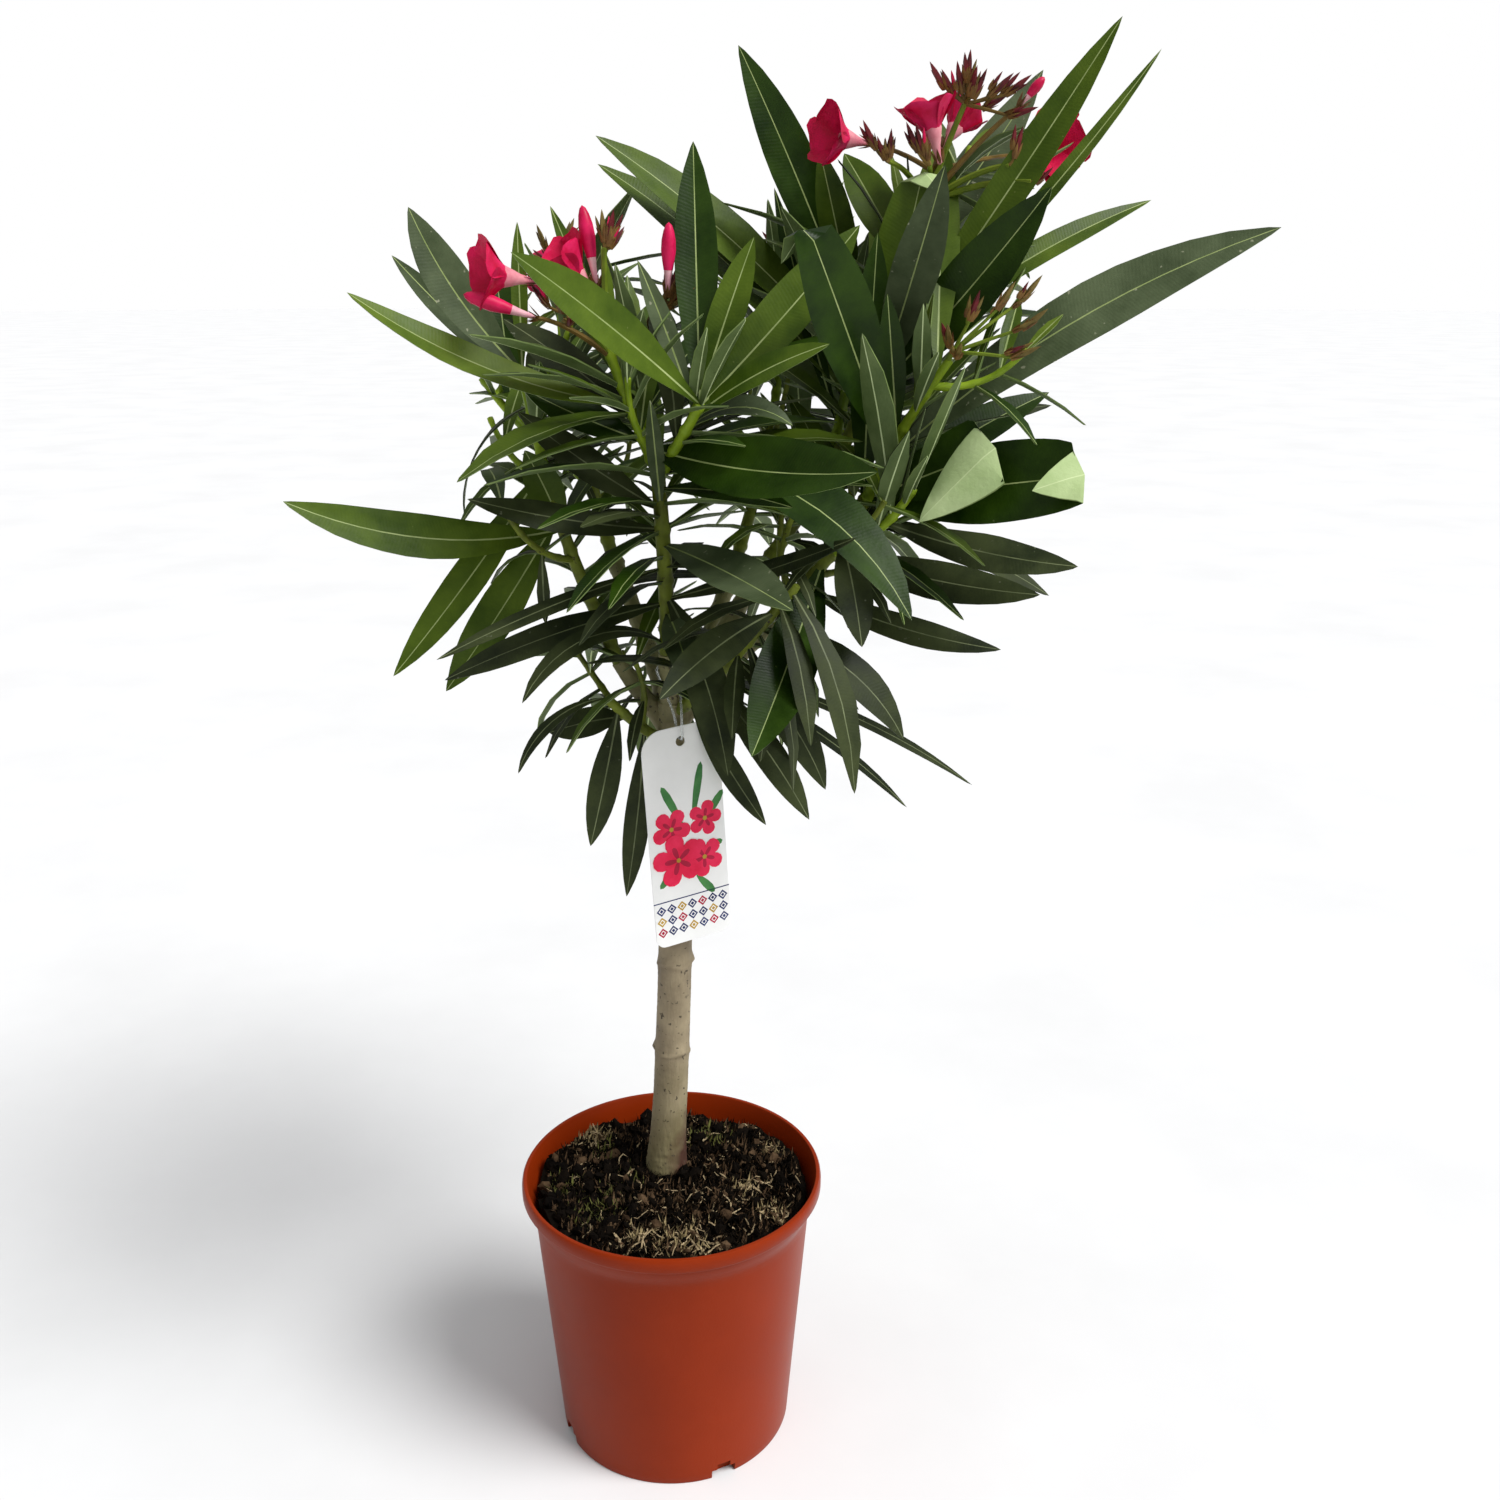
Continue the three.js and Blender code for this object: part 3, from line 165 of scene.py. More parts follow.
# The leaves that give the crown its outline: shoot, place on it, tip, width, droop, how far the blade
# faces from the sky to the front in degrees, and its tint
OUTLINE_LEAVES = [
    ("left_stem", 0.82, (-190, -60, 615), 25, -36, 60, "mid"),
    ("left_tip", 0.3, (-147, -30, 515), 21, -8, 55, "mid"),
    ("left_stem", 0.9, (-125, 10, 495), 26, -6, 50, "mid"),
    ("left_tip", 0.75, (-110, 20, 593), 12, 75, 10, "old"),
    ("left_stem", 0.8, (-72, -10, 634), 20, 10, 70, "mid"),
    ("left_tip", 1, (-130, 20, 758), 24, -24, 60, "grey"),
    ("left_tip", 0.9, (-147, 60, 734), 14, -6, 50, "grey"),
    ("centre_left", 0.5, (-150, -60, 716), 20, -28, 40, "fresh"),
    ("centre_left", 0.2, (99, -150, 639), 36, -16, 60, "deep"),
    ("centre_right", 0.1, (122, -120, 563), 34, 72, 35, "deep"),
    ("centre_stem", 0.62, (62, -140, 573), 28, 8, 45, "grey"),
    ("centre_stem", 0.7, (-99, -50, 614), 18, -12, 50, "old"),
    ("centre_stem", 0.5, (-117, -70, 534), 11, 12, 35, "old"),
    ("centre_stem", 0.3, (-118, -40, 515), 21, 14, 35, "old"),
    ("centre_right", 1, (-65, -115, 734), 25, 8, 55, "mid"),
    ("centre_right", 1, (20, -20, 788), 22, -4, 80, "deep"),
    ("centre_right", 0.95, (49, -50, 742), 18, 4, 70, "mid"),
    ("centre_right", 0.85, (84, -80, 692), 16, 22, 45, "mid"),
    ("centre_right", 0.7, (68, -60, 651), 17, 85, 30, "grey"),
    ("centre_right", 0.9, (-9, -45, 731), 11, 6, 80, "grey"),
    ("right_up", 0.3, (319, -40, 747), 31, 26, 55, "grey"),
    ("right_up", 0.5, (116, -50, 715), 14, 4, 70, "deep"),
    ("right_stem", 0.95, (116, -10, 745), 22, 2, 80, "deep"),
    ("right_low", 0.6, (217, -70, 579), 24, -16, 45, "old"),
    ("right_stem", 0.85, (216, -20, 553), 18, 24, 35, "old"),
    ("right_stem", 0.6, (203, -50, 560), 24, -16, 55, "old"),
    ("right_stem", 0.3, (188, -30, 525), 18, -20, 50, "old"),
    ("right_stem", 0.9, (222, 30, 660), 24, 14, 50, "deep"),
    ("top_stem", 0.5, (229, 50, 651), 20, 18, 40, "old"),
    ("right_stem", 0.5, (44, -110, 491), 32, -10, 60, "deep"),
    ("skirt_right_shoot", 0.85, (-2, -110, 522), 21, 20, 50, "old"),
    ("skirt_right_shoot", 0.75, (130, -60, 483), 22, 56, 45, "old"),
    ("skirt_right_shoot", 0.45, (182, 0, 435), 9, 20, 30, "old"),
    ("skirt_right_shoot", 0.4, (140, -20, 429), 9, 22, 30, "old"),
    ("skirt_right_shoot", 0.35, (80, -50, 434), 18, 18, 60, "old"),
    ("skirt_right_shoot", 0.15, (58, -20, 420), 14, -8, 60, "old"),
    ("centre_stem", 0.05, (-75, -60, 507), 14, 95, 30, "old"),
    ("skirt_left_shoot", 0.8, (-42, -50, 421), 17, -8, 60, "old"),
    ("skirt_left_shoot", 0.35, (-24, -8, 372), 15, -6, 70, "old"),
    ("skirt_left_shoot", 1, (-81, -40, 461), 9, 72, 20, "old"),
    ("skirt_left_shoot", 0.65, (-66, 0, 472), 20, 14, 45, "old"),
    ("centre_stem", 0.35, (34, -66, 466), 23, 40, 75, "old"),
    ("top_stem", 1, (235, -20, 847), 21, -3, 60, "mid"),
    ("top_up", 0.05, (275, 40, 840), 10, -12, 40, "mid"),
    ("top_stem", 0.85, (198, -45, 766), 32, -8, 60, "deep"),
    ("top_up", 0.05, (282, 60, 764), 16, 18, 50, "mid"),
    ("top_back", 0.9, (223, 90, 835), 27, -10, 60, "grey"),
    ("top_up", 0.45, (106, 60, 788), 24, 6, 70, "mid"),
    ("right_up", 0.9, (156, 30, 795), 20, 2, 75, "mid"),
    ("top_stem", 0.9, (142, -55, 775), 25, -4, 80, "grey"),
    ("top_back", 0.7, (-31, 40, 795), 28, 18, 45, "mid"),
    ("top_back", 0.5, (-31, 60, 782), 26, 22, 40, "mid"),
    ("top_back", 0.95, (46, 40, 840), 27, 6, 65, "deep"),
    ("top_back", 1, (89, 30, 788), 20, 4, 70, "mid"),
    ("centre_left", 0.25, (-70, -30, 668), 22, -10, 45, "deep"),
    ("centre_stem", 0.8, (-72, -40, 657), 20, -10, 50, "old"),
    ("centre_left", 0.4, (-83, 20, 701), 22, 12, 45, "old"),
    ("centre_stem", 0.32, (94, -120, 604), 14, -6, 50, "old"),
    ("centre_stem", 0.9, (64, -110, 617), 16, 14, 45, "deep"),
    ("right_stem", 0.7, (106, -60, 535), 20, 30, 70, "old"),
    ("centre_right", 0.95, (104, -30, 748), 26, -6, 60, "mid"),
    ("top_back", 0.3, (67, 60, 770), 12, -4, 60, "deep"),
    ("skirt_right_shoot", 0.55, (90, -40, 448), 20, 30, 55, "old"),
    ("centre_left", 0.8, (-56, 30, 759), 9, 4, 70, "mid"),
    ("left_tip", 0.95, (-74, 30, 751), 9, 4, 70, "mid"),
    ("centre_stem", 0.78, (-4, -70, 665), 9, 4, 70, "grey"),
    ("centre_stem", 0.25, (15, -80, 520), 18, 24, 65, "grey"),
]

# Leaves that are folded over: as above, with the tip where it would be unfolded, then the crease's
# place along the leaf, the turn there and the crease's skew
FOLDED_LEAVES = [
    ("right_stem", 0.97, (214, -95, 659), 37, 4, 66, "deep", 0.58, 168, 15),
    ("right_stem", 0.95, (238, -100, 632), 44, 4, 66, "deep", 0.81, 150, 12),
    ("top_stem", 0.85, (144, 0, 793), 33, 0, 80, "mid", 0.84, 130, 20),
    ("right_up", 0.4, (65, -90, 762), 34, 4, 65, "deep", 0.82, -165, -25),
]
CREASE_RADIUS = 3

# Blossom: heads as shoot, hub where the stalks part, share of ripe buds and tips of the groups of buds
HEADS = [
    ("centre_left", (-25, -44, 737), 0.6, [
        (-26, -44, 755), (-20, -46, 755), (-15, -40, 747), (-19, -46, 748)]),
    ("centre_left", (-44, -50, 706), 0.75, [
        (-51, -60, 719), (-63, -40, 720), (-35, -64, 712), (-42, -70, 704)]),
    ("centre_middle", (4, -34, 711), 0.6, [(12, -40, 730), (17, -42, 720), (14, -44, 713), (8, -30, 727)]),
    ("right_up", (151, -46, 686), 0.2, [
        (144, -66, 701), (161, -60, 717), (180, -54, 721), (196, -44, 724), (196, -60, 708), (192, -66, 690),
        (150, -74, 692)]),
    ("top_up", (163, 10, 809), 0.85, [
        (142, 0, 828), (149, 4, 825), (157, 4, 829), (163, 0, 834), (166, -4, 826), (172, 0, 825),
        (186, 0, 823), (195, -2, 822), (186, 6, 814), (198, -8, 806)]),
    ("top_up", (122, -2, 780), 0.85, [(108, -2, 800), (115, -6, 792), (123, -2, 796), (122, 2, 791)]),
    ("top_up", (143, -5, 778), 0.85, [(130, -5, 799), (135, -5, 798), (139, -5, 796)]),
    ("top_up", (184, -8, 778), 1, [(190, -10, 797)]),
    ("top_up", (195, -12, 770), 1, [(206, -14, 777)]),
    ("back_left_up", (-61, 122, 732), 0.5, [
        (-70, 116, 752), (-48, 124, 756), (-58, 134, 744), (-74, 130, 738)]),
    ("back_right_up", (83, 150, 732), 0.5, [
        (70, 152, 752), (92, 146, 754), (80, 164, 744), (98, 154, 736)]),
]

# Single flowers still rolled up: shoot, foot and tip
SPINDLES = [
    ("centre_middle", (6, -38, 715), (7, -40, 749)),
    ("centre_left", (-30, -38, 720), (-36, -36, 757)),
    ("centre_left", (-60, -56, 704), (-94, -60, 715)),
    ("top_up", (191, 2, 808), (202, 0, 821)),
]

# Open flowers as shoot, heart, look, size and how steeply the petals still stand at their ends
FLOWERS = [
    ("centre_left", (-75, -50, 723), (-0.8, -0.35, 0.12), 0.95, 40),
    ("centre_left", (-40, -40, 723), (-0.6, -0.25, 0.75), 1, 66),
    ("top_up", (219, 58, 791), (0.2, -0.95, 0.1), 1.05, 34),
    ("top_up", (101, 16, 792), (-0.8, -0.4, 0.1), 0.92, 42),
    ("top_up", (145, 4, 796), (-0.3, -0.1, 0.95), 0.95, 50),
    ("top_up", (161, 24, 798), (0.5, 0.4, 0.7), 0.8, 60),
    ("back_left_up", (-60, 146, 722), (-0.5, 0.7, 0.3), 0.9, 34),
    ("back_right_up", (98, 158, 745), (0.5, 0.7, 0.3), 0.9, 36),
]
FLOWER = {"petals": 5, "tube": 18, "throat": 5.5, "petal": 20, "petal_width": 28}
BUD = {"length": 15, "radius": 1.7, "sepal": 8}

# Stalks of heads and rolled flowers: where along the shoot they start, and their radii
STALK_FROM = 0.8
STALK_RADII = {"foot": 1.9, "head": 1.4, "single": 1.1}

# Space is dealt out in cubes. A leaf is sampled for it across and along, and is turned by these
# angles, and then made shorter by these shares, before it is left out. Open flowers, limbs and the
# view of the label keep room round them
CUBE = 7
BLADE_STEPS = 24
PETIOLE = 0.12
SAMPLE_ACROSS = (-0.45, -0.22, 0, 0.22, 0.45)
SAMPLE_FROM = 4
NUDGES = [(0, 0), (9, 0), (-9, 0), (0, 9), (0, -9), (18, 0), (-18, 0), (18, 9), (-18, 9), (27, -9), (-27, -9)]
SHORTER = (1, 0.82, 0.66)
FRONT_REACH = 48
BLOSSOM_ROOM = 12
WOOD_ROOM = 2
VIEW_STEP = 5
LIMB = {"rings": 40, "corners": 8}

# Rows of corners along a blade, by the kind of leaf
ROWS = {"outline": 13, "folded": 20, "whorl": 6, "fine": 5}

# Finer growth, in smaller cubes and a share of the reach. Whorls between the source's: shift as a
# share of their step, turn in degrees, size of the leaves, share of the reach, and tint if it isn't
# that of their age
FINE_CUBE = 4
FINE_REACH = 0.86
FINE_WOOD_ROOM = 1
FINE_VIEW_STEP = 3
BETWEEN_WHORLS = [
    (0.5, 30, 0.75, FINE_REACH, None), (0.25, 75, 0.85, 0.66, "old"), (0.75, 105, 0.85, 0.66, "old"),
]
SIDE_TWIG = {"length": 52, "radii": (2.3, 1.6), "whorls": 3, "first": 0.4, "turn": 137.5, "leaf_size": 0.5}

# Where each kind of growth starts its runs of random numbers
RUNS = {"twig": 300, "twig_leaves": 500, "between": 700, "head": 850, "flower": 900, "spindle": 950}

# Camera, light and floor: metres and degrees. The sky is brighter overhead than at its foot
CAMERA = {"at": (0, -0.832, 0.727), "pitch": 17.8, "yaw": 3.43, "lens": 36, "sensor": 36,
          "near": 0.05, "far": 200}
SUNS = {
    "key_light": {"turn": (38, 8, 48), "strength": 3.3, "softness": 30},
    "fill_light": {"turn": (60, 0, 40), "strength": 0.5, "softness": 80},
}
SKY = {"colour": (0.97, 0.98, 1.0, 1.0), "low": 0.1, "high": 0.62}
FLOOR_RADIUS = 30


def vec(*xyz):
    return np.array(xyz, float)


def unit(v):
    return v / np.linalg.norm(v)


def lerp(a, b, t):
    return a + (b - a) * t


def clamp(value, low=0.0, high=1.0):
    return max(low, min(high, value))


def smoothstep(value, low, high):
    t = np.clip((value - low) / (high - low), 0, 1)
    return t * t * (3 - 2 * t)


def spoke(across, over, angle):
    """The direction at an angle round a line, from two directions square to it."""
    return across * math.cos(angle) + over * math.sin(angle)


# Growth: the rule of the part's source

class Curve:
    """A smooth curve from the first point through the second to the third."""

    def __init__(self, route):
        first, second, third = (vec(*p) for p in route)
        self.first, self.third = first, third
        self.control = 2 * second - 0.5 * first - 0.5 * third

    def point(self, t):
        return (1 - t) ** 2 * self.first + 2 * (1 - t) * t * self.control + t * t * self.third

    def frame(self, t):
        """The point at t, and the directions along, across and over."""
        along = unit(2 * (1 - t) * (self.control - self.first) + 2 * t * (self.third - self.control))
        across = unit(np.cross(along, vec(0, 1, 0)))
        return self.point(t), along, across, np.cross(across, along)

    def points(self, shares):
        return [self.point(t) for t in shares]


class Run:
    """Random numbers that come out the same every time; each shoot starts its own run."""

    def __init__(self, number):
        self.seed = 1000 + 7919 * (number + 1)

    def chance(self):
        self.seed = self.seed * 16807 % 2147483647
        return self.seed / 2147483647

    def spread(self, amount):
        return (self.chance() * 2 - 1) * amount


@dataclass
class Leaf:
    """A leaf's place, heading, rise and shape, in millimetres and radians."""
    at: np.ndarray
    heading: float
    rise: float
    length: float
    width: float
    droop: float
    roll: float
    tint: str = "mid"
    rows: int = ROWS["whorl"]
    crease: tuple = None
    mass: str = ""


def leaf_directions(leaf, t):
    """Directions at shares t of the leaf: along the midrib, across the blade and out of it."""
    elevation = leaf.rise - leaf.droop * np.asarray(t, float)[:, None]
    level = np.cos(elevation)
    along = np.hstack([level * math.cos(leaf.heading), level * math.sin(leaf.heading), np.sin(elevation)])
    side = np.broadcast_to(vec(-math.sin(leaf.heading), math.cos(leaf.heading), 0), along.shape)
    up = np.cross(along, side)
    cos, sin = math.cos(leaf.roll), math.sin(leaf.roll)
    return along, side * cos + up * sin, up * cos - side * sin


def midrib(leaf):
    """Points along the leaf's midrib."""
    along, _, _ = leaf_directions(leaf, (np.arange(BLADE_STEPS) + 0.5) / BLADE_STEPS)
    return np.vstack([leaf.at, leaf.at + np.cumsum(along * leaf.length / BLADE_STEPS, axis=0)])


def spine_at(leaf, t):
    """Points of the midrib at shares t, between the ones that it is made of."""
    points = midrib(leaf)
    steps = np.clip(t * BLADE_STEPS, 0, BLADE_STEPS - 1e-6)
    low = steps.astype(int)
    return points[low] + (points[low + 1] - points[low]) * (steps - low)[:, None]


def half_width(leaf, t):
    """Half the blade's width: a narrow foot, widest just past the middle."""
    t = np.asarray(t, float)
    return leaf.width / 2 * np.maximum(t ** 1.1 * (1 - t) ** 0.9 / 0.2525, PETIOLE * (1 - t))


def folded(leaf, points):
    """Bends what lies beyond the crease round it, onto the blade's upper face."""
    if leaf.crease is None:
        return points
    origin, beyond, out, turn = leaf.crease
    offset = points - origin
    past = offset @ beyond
    height = offset @ out
    above = CREASE_RADIUS - height
    angle = np.minimum(past / CREASE_RADIUS, turn)
    rest = past - angle * CREASE_RADIUS
    new_past = above * np.sin(angle) + rest * np.cos(angle)
    new_height = CREASE_RADIUS - above * np.cos(angle) + rest * np.sin(angle)
    moved = points + (new_past - past)[..., None] * beyond + (new_height - height)[..., None] * out
    return np.where((past > 0)[..., None], moved, points)


def with_crease(leaf, place, turn, skew):
    """The leaf with its crease; a turn below zero bends it to the under face."""
    along, side, up = (rows[0] for rows in leaf_directions(leaf, [place]))
    beyond = along * math.cos(skew) + side * math.sin(skew)
    crease = (midrib(leaf)[round(place * BLADE_STEPS)], beyond, up * math.copysign(1, turn), abs(turn))
    return replace(leaf, crease=crease, rows=ROWS["folded"])


def leaf_to_tip(at, tip, width, droop, facing):
    """A leaf that ends at a given tip, its blade facing a given angle from the sky to the front."""
    chord = tip - at
    reach = np.linalg.norm(chord)
    heading = math.atan2(chord[1], chord[0])
    rise = math.asin(chord[2] / reach)
    half = droop / 2
    length = reach if abs(half) < 1e-3 else reach * half / math.sin(half)
    leaf = Leaf(at, heading, rise, length, width, 0, 0)
    _, side, up = (rows[0] for rows in leaf_directions(leaf, [0]))
    face = vec(0, -math.sin(facing), math.cos(facing))
    return replace(leaf, roll=math.atan2(-face @ side, face @ up), rise=rise + half, droop=droop)


def cubes_of(points, size):
    return {tuple(cube) for cube in np.floor(points / size).astype(int).reshape(-1, 3)}


def leaf_cubes(leaf):
    t = np.arange(SAMPLE_FROM, BLADE_STEPS + 1) / BLADE_STEPS
    _, side, _ = leaf_directions(leaf, t)
    width = 2 * half_width(leaf, t)
    points = midrib(leaf)[SAMPLE_FROM:]
    rows = [folded(leaf, points + side * (share * width)[:, None]) for share in SAMPLE_ACROSS]
    return cubes_of(np.array(rows), CUBE)


def points_round(curve, radius_at, swell):
    """Points round a limb, swell outside its skin."""
    points = []
    for k in range(LIMB["rings"] + 1):
        t = k / LIMB["rings"]
        point, _, across, over = curve.frame(t)
        for corner in range(LIMB["corners"]):
            out = spoke(across, over, corner * 2 * math.pi / LIMB["corners"])
            points.append(point + out * (radius_at(t) + swell))
    return np.array(points)


def limb_points(curve, radii, swell):
    return points_round(curve, lambda t: lerp(*radii, t), swell)


def trunk_radius(t):
    flare = math.exp(-max(t - TRUNK["flare"], 0) / TRUNK["flare"])
    return lerp(TRUNK["low"], TRUNK["top"], t) + (TRUNK["foot"] - TRUNK["low"]) * flare


def label_matrix():
    turn = Matrix.Rotation(math.radians(LABEL["turn"]), 4, "Z")
    tilt = Matrix.Rotation(math.radians(-LABEL["tilt"]), 4, "Y")
    stand = Matrix.Rotation(math.pi / 2, 4, "X")
    return Matrix.Translation(LABEL["at"]) @ turn @ tilt @ stand


def label_view_points(step):
    """Points of the space in front of the label, which stays open."""
    matrix = np.array(label_matrix())
    across = np.arange(-LABEL["width"] / 2, LABEL["width"] / 2 + 0.1, step)
    down = np.arange(LABEL["hole_below_top"] - LABEL["height"], LABEL["hole_below_top"] + 0.1, step)
    front = np.arange(0, LABEL["view"] + 0.1, step)
    grid = np.stack(np.meshgrid(across, down, front, indexing="ij"), -1).reshape(-1, 3)
    return grid @ matrix[:3, :3].T + matrix[:3, 3]


def blossom_points(step):
    """Points of the room that each open flower and each group of buds keeps free of leaves."""
    hearts = [heart for _, heart, *_ in FLOWERS]
    hearts += [tip for *_, tips in HEADS for tip in tips]
    side = np.arange(-BLOSSOM_ROOM, BLOSSOM_ROOM + 0.1, step)
    ball = np.stack(np.meshgrid(side, side, side, indexing="ij"), -1).reshape(-1, 3)
    ball = ball[np.linalg.norm(ball, axis=1) <= BLOSSOM_ROOM]
    return np.vstack([vec(*heart) + ball for heart in hearts])


def whorl_leaf(shoot, curve, run, whorl, corner):
    """One leaf of a whorl: each stands a third of a turn from the next, and whorls alternate."""
    share = 1 if shoot.whorls == 1 else whorl / (shoot.whorls - 1)
    foot, tip = (AGES[age] for age in shoot.ages)
    between = {key: lerp(foot[key], tip[key], share) for key in foot}
    point, along, across, over = curve.frame(lerp(shoot.first, shoot.last, share))
    around = math.radians(shoot.turn + whorl * 60 + corner * 120 + run.spread(14))
    opening = math.radians(between["open"] + run.spread(9))
    length = between["length"] * (1 + run.spread(0.14))
    width = between["width"] * (1 + run.spread(0.12))
    droop = math.radians(between["droop"] + run.spread(10))
    roll = math.radians(run.spread(16))
    way = spoke(along, spoke(across, over, around), opening)
    heading, rise = math.atan2(way[1], way[0]), math.asin(clamp(way[2], -1, 1))
    return Leaf(point, heading, rise, length, width, droop, roll, tint_of(shoot.ages, share, corner))


def tint_of(ages, share, corner):
    """Old leaves are dull, the ones in their prime dark or mid green, and the youngest fresh."""
    if ages == ALL_OLD or (ages == OLD_TO_FULL and share < 0.5):
        return "old"
    if ages == FULL_TO_YOUNG and share > 0.8:
        return "fresh"
    return "deep" if corner == 1 else "mid"


class Space:
    """Space dealt out in cubes: what grows takes the cubes that it passes through."""

    def __init__(self, size, cubes_of_leaf):
        self.taken = set()
        self.size = size
        self.cubes_of_leaf = cubes_of_leaf

    def take(self, points):
        self.taken |= cubes_of(points, self.size)

    def take_leaf(self, leaf):
        self.taken |= self.cubes_of_leaf(leaf)

    def settle(self, leaf, heart, reach):
        """The leaf turned little by little until it is clear and inside its mass's space, or nothing."""
        for share in SHORTER:
            for turn, lift in NUDGES:
                tried = replace(
                    leaf, heading=leaf.heading + math.radians(turn), rise=leaf.rise + math.radians(lift),
                    length=leaf.length * share, width=leaf.width * (0.5 + 0.5 * share))
                cubes = self.cubes_of_leaf(tried)
                tip = midrib(tried)[-1]
                inside = np.linalg.norm(tip - heart) < reach and tip[1] > heart[1] - FRONT_REACH
                if inside and not cubes & self.taken:
                    self.taken |= cubes
                    return tried
        return None


def take_wood(space, swell):
    space.take(points_round(Curve(TRUNK["route"]), trunk_radius, swell))
    for route, radii in BOUGHS.values():
        space.take(limb_points(Curve(route), radii, swell))


def outline_leaf(curves, row):
    shoot, place, tip, width, droop, facing, tint, *fold = row
    at = curves[shoot].point(place)
    leaf = leaf_to_tip(at, vec(*tip), width, math.radians(droop), math.radians(facing))
    leaf = replace(leaf, tint=tint, rows=ROWS["outline"])
    if fold:
        leaf = with_crease(leaf, fold[0], math.radians(fold[1]), math.radians(fold[2]))
    return leaf


def grow():
    """All leaves by the source's rule, with the shoots' curves and masses."""
    curves, mass_of = {}, {}
    for mass, (_, _, shoots) in MASSES.items():
        for name, shoot in shoots.items():
            curves[name] = Curve(shoot.route)
            mass_of[name] = mass
    space = Space(CUBE, leaf_cubes)
    take_wood(space, WOOD_ROOM)
    for _, _, shoots in MASSES.values():
        for name, shoot in shoots.items():
            space.take(limb_points(curves[name], shoot.radii, WOOD_ROOM))
    space.take(label_view_points(VIEW_STEP))
    space.take(blossom_points(CUBE))
    leaves = []
    for row in OUTLINE_LEAVES + FOLDED_LEAVES:
        leaf = replace(outline_leaf(curves, row), mass=mass_of[row[0]])
        space.take_leaf(leaf)
        leaves.append(leaf)
    for number, (name, mass) in enumerate(mass_of.items()):
        leaves += fill_whorls(space, mass, MASSES[mass][2][name], curves[name], Run(number))
    return leaves, curves, mass_of


def fill_whorls(space, mass, shoot, curve, run, scale=1, reach_share=1, tint=None, rows=ROWS["whorl"]):
    """The leaves of a shoot's whorls that find room, from its tip down."""
    heart, reach, _ = MASSES[mass]
    found = []
    for whorl in reversed(range(shoot.whorls)):
        for corner in range(3):
            leaf = whorl_leaf(shoot, curve, run, whorl, corner)
            leaf = replace(leaf, length=leaf.length * scale, width=leaf.width * scale, mass=mass,
                           rows=rows, tint=tint or leaf.tint)
            leaf = space.settle(leaf, vec(*heart), reach * reach_share)
            if leaf is not None:
                found.append(leaf)
    return found


# Finer growth: side twigs and more whorls within the same reach

def fine_cubes(leaf):
    t = np.arange(0.2, 1.001, 1 / 36)
    _, side, _ = leaf_directions(leaf, t)
    spine = spine_at(leaf, t)
    width = half_width(leaf, t)
    rows = [folded(leaf, spine + side * (share * width)[:, None]) for share in np.linspace(-0.9, 0.9, 9)]
    return cubes_of(np.array(rows), FINE_CUBE)


def side_twigs():
    """Short side shoots from every stem, as (mass, shoot): they fork at its nodes."""
    twigs = []
    for mass, (_, _, shoots) in MASSES.items():
        for number, stem in enumerate(shoots.values()):
            run = Run(RUNS["twig"] + len(twigs))
            curve = Curve(stem.route)
            count = 4 if number == 0 else 2
            for i in range(count):
                share = lerp(0.2, 0.85, i / max(count - 1, 1))
                point, along, across, over = curve.frame(share)
                around = math.radians(stem.turn + SIDE_TWIG["turn"] * i + run.spread(20))
                length = SIDE_TWIG["length"] + run.spread(14)
                way = unit(along * 0.7 + spoke(across, over, around))
                middle = point + way * length * 0.5
                end = middle + unit(way + along * 0.8 + vec(0, 0, 0.3)) * length * 0.5
                ages = OLD_TO_FULL if stem.ages != FULL_TO_YOUNG else FULL_TO_YOUNG
                twigs.append((mass, Shoot([point, middle, end], SIDE_TWIG["radii"], SIDE_TWIG["whorls"],
                                          ages, SIDE_TWIG["first"], run.chance() * 120)))
    return twigs


def grow_finer(leaves, curves):
    """Side twigs and smaller leaves that fit between the others; returns both."""
    space = Space(FINE_CUBE, fine_cubes)
    for leaf in leaves:
        space.take_leaf(leaf)
    take_wood(space, FINE_WOOD_ROOM)
    space.take(label_view_points(FINE_VIEW_STEP))
    space.take(blossom_points(FINE_CUBE))
    more, twigs = [], []
    for number, (mass, shoot) in enumerate(side_twigs()):
        curve = Curve(shoot.route)
        points = limb_points(curve, shoot.radii, 0)
        beyond_foot = points[LIMB["rings"] // 4 * LIMB["corners"]:]
        if cubes_of(beyond_foot, FINE_CUBE) & space.taken:
            continue
        space.take(points)
        twigs.append((mass, shoot))
        run = Run(RUNS["twig_leaves"] + number)
        size = SIDE_TWIG["leaf_size"]
        more += fill_whorls(space, mass, shoot, curve, run, size, FINE_REACH, None, ROWS["fine"])
    for shift, turn, scale, share, tint in BETWEEN_WHORLS:
        for mass, (_, _, shoots) in MASSES.items():
            for number, (name, shoot) in enumerate(shoots.items()):
                step = (shoot.last - shoot.first) / max(shoot.whorls - 1, 1) * shift
                between = replace(shoot, first=shoot.first - step, last=shoot.last - step,
                                  turn=shoot.turn + turn)
                run = Run(RUNS["between"] + number)
                more += fill_whorls(space, mass, between, curves[name], run, scale, share, tint, ROWS["fine"])
    return more, twigs


# Meshes: many small closed shapes gathered into one

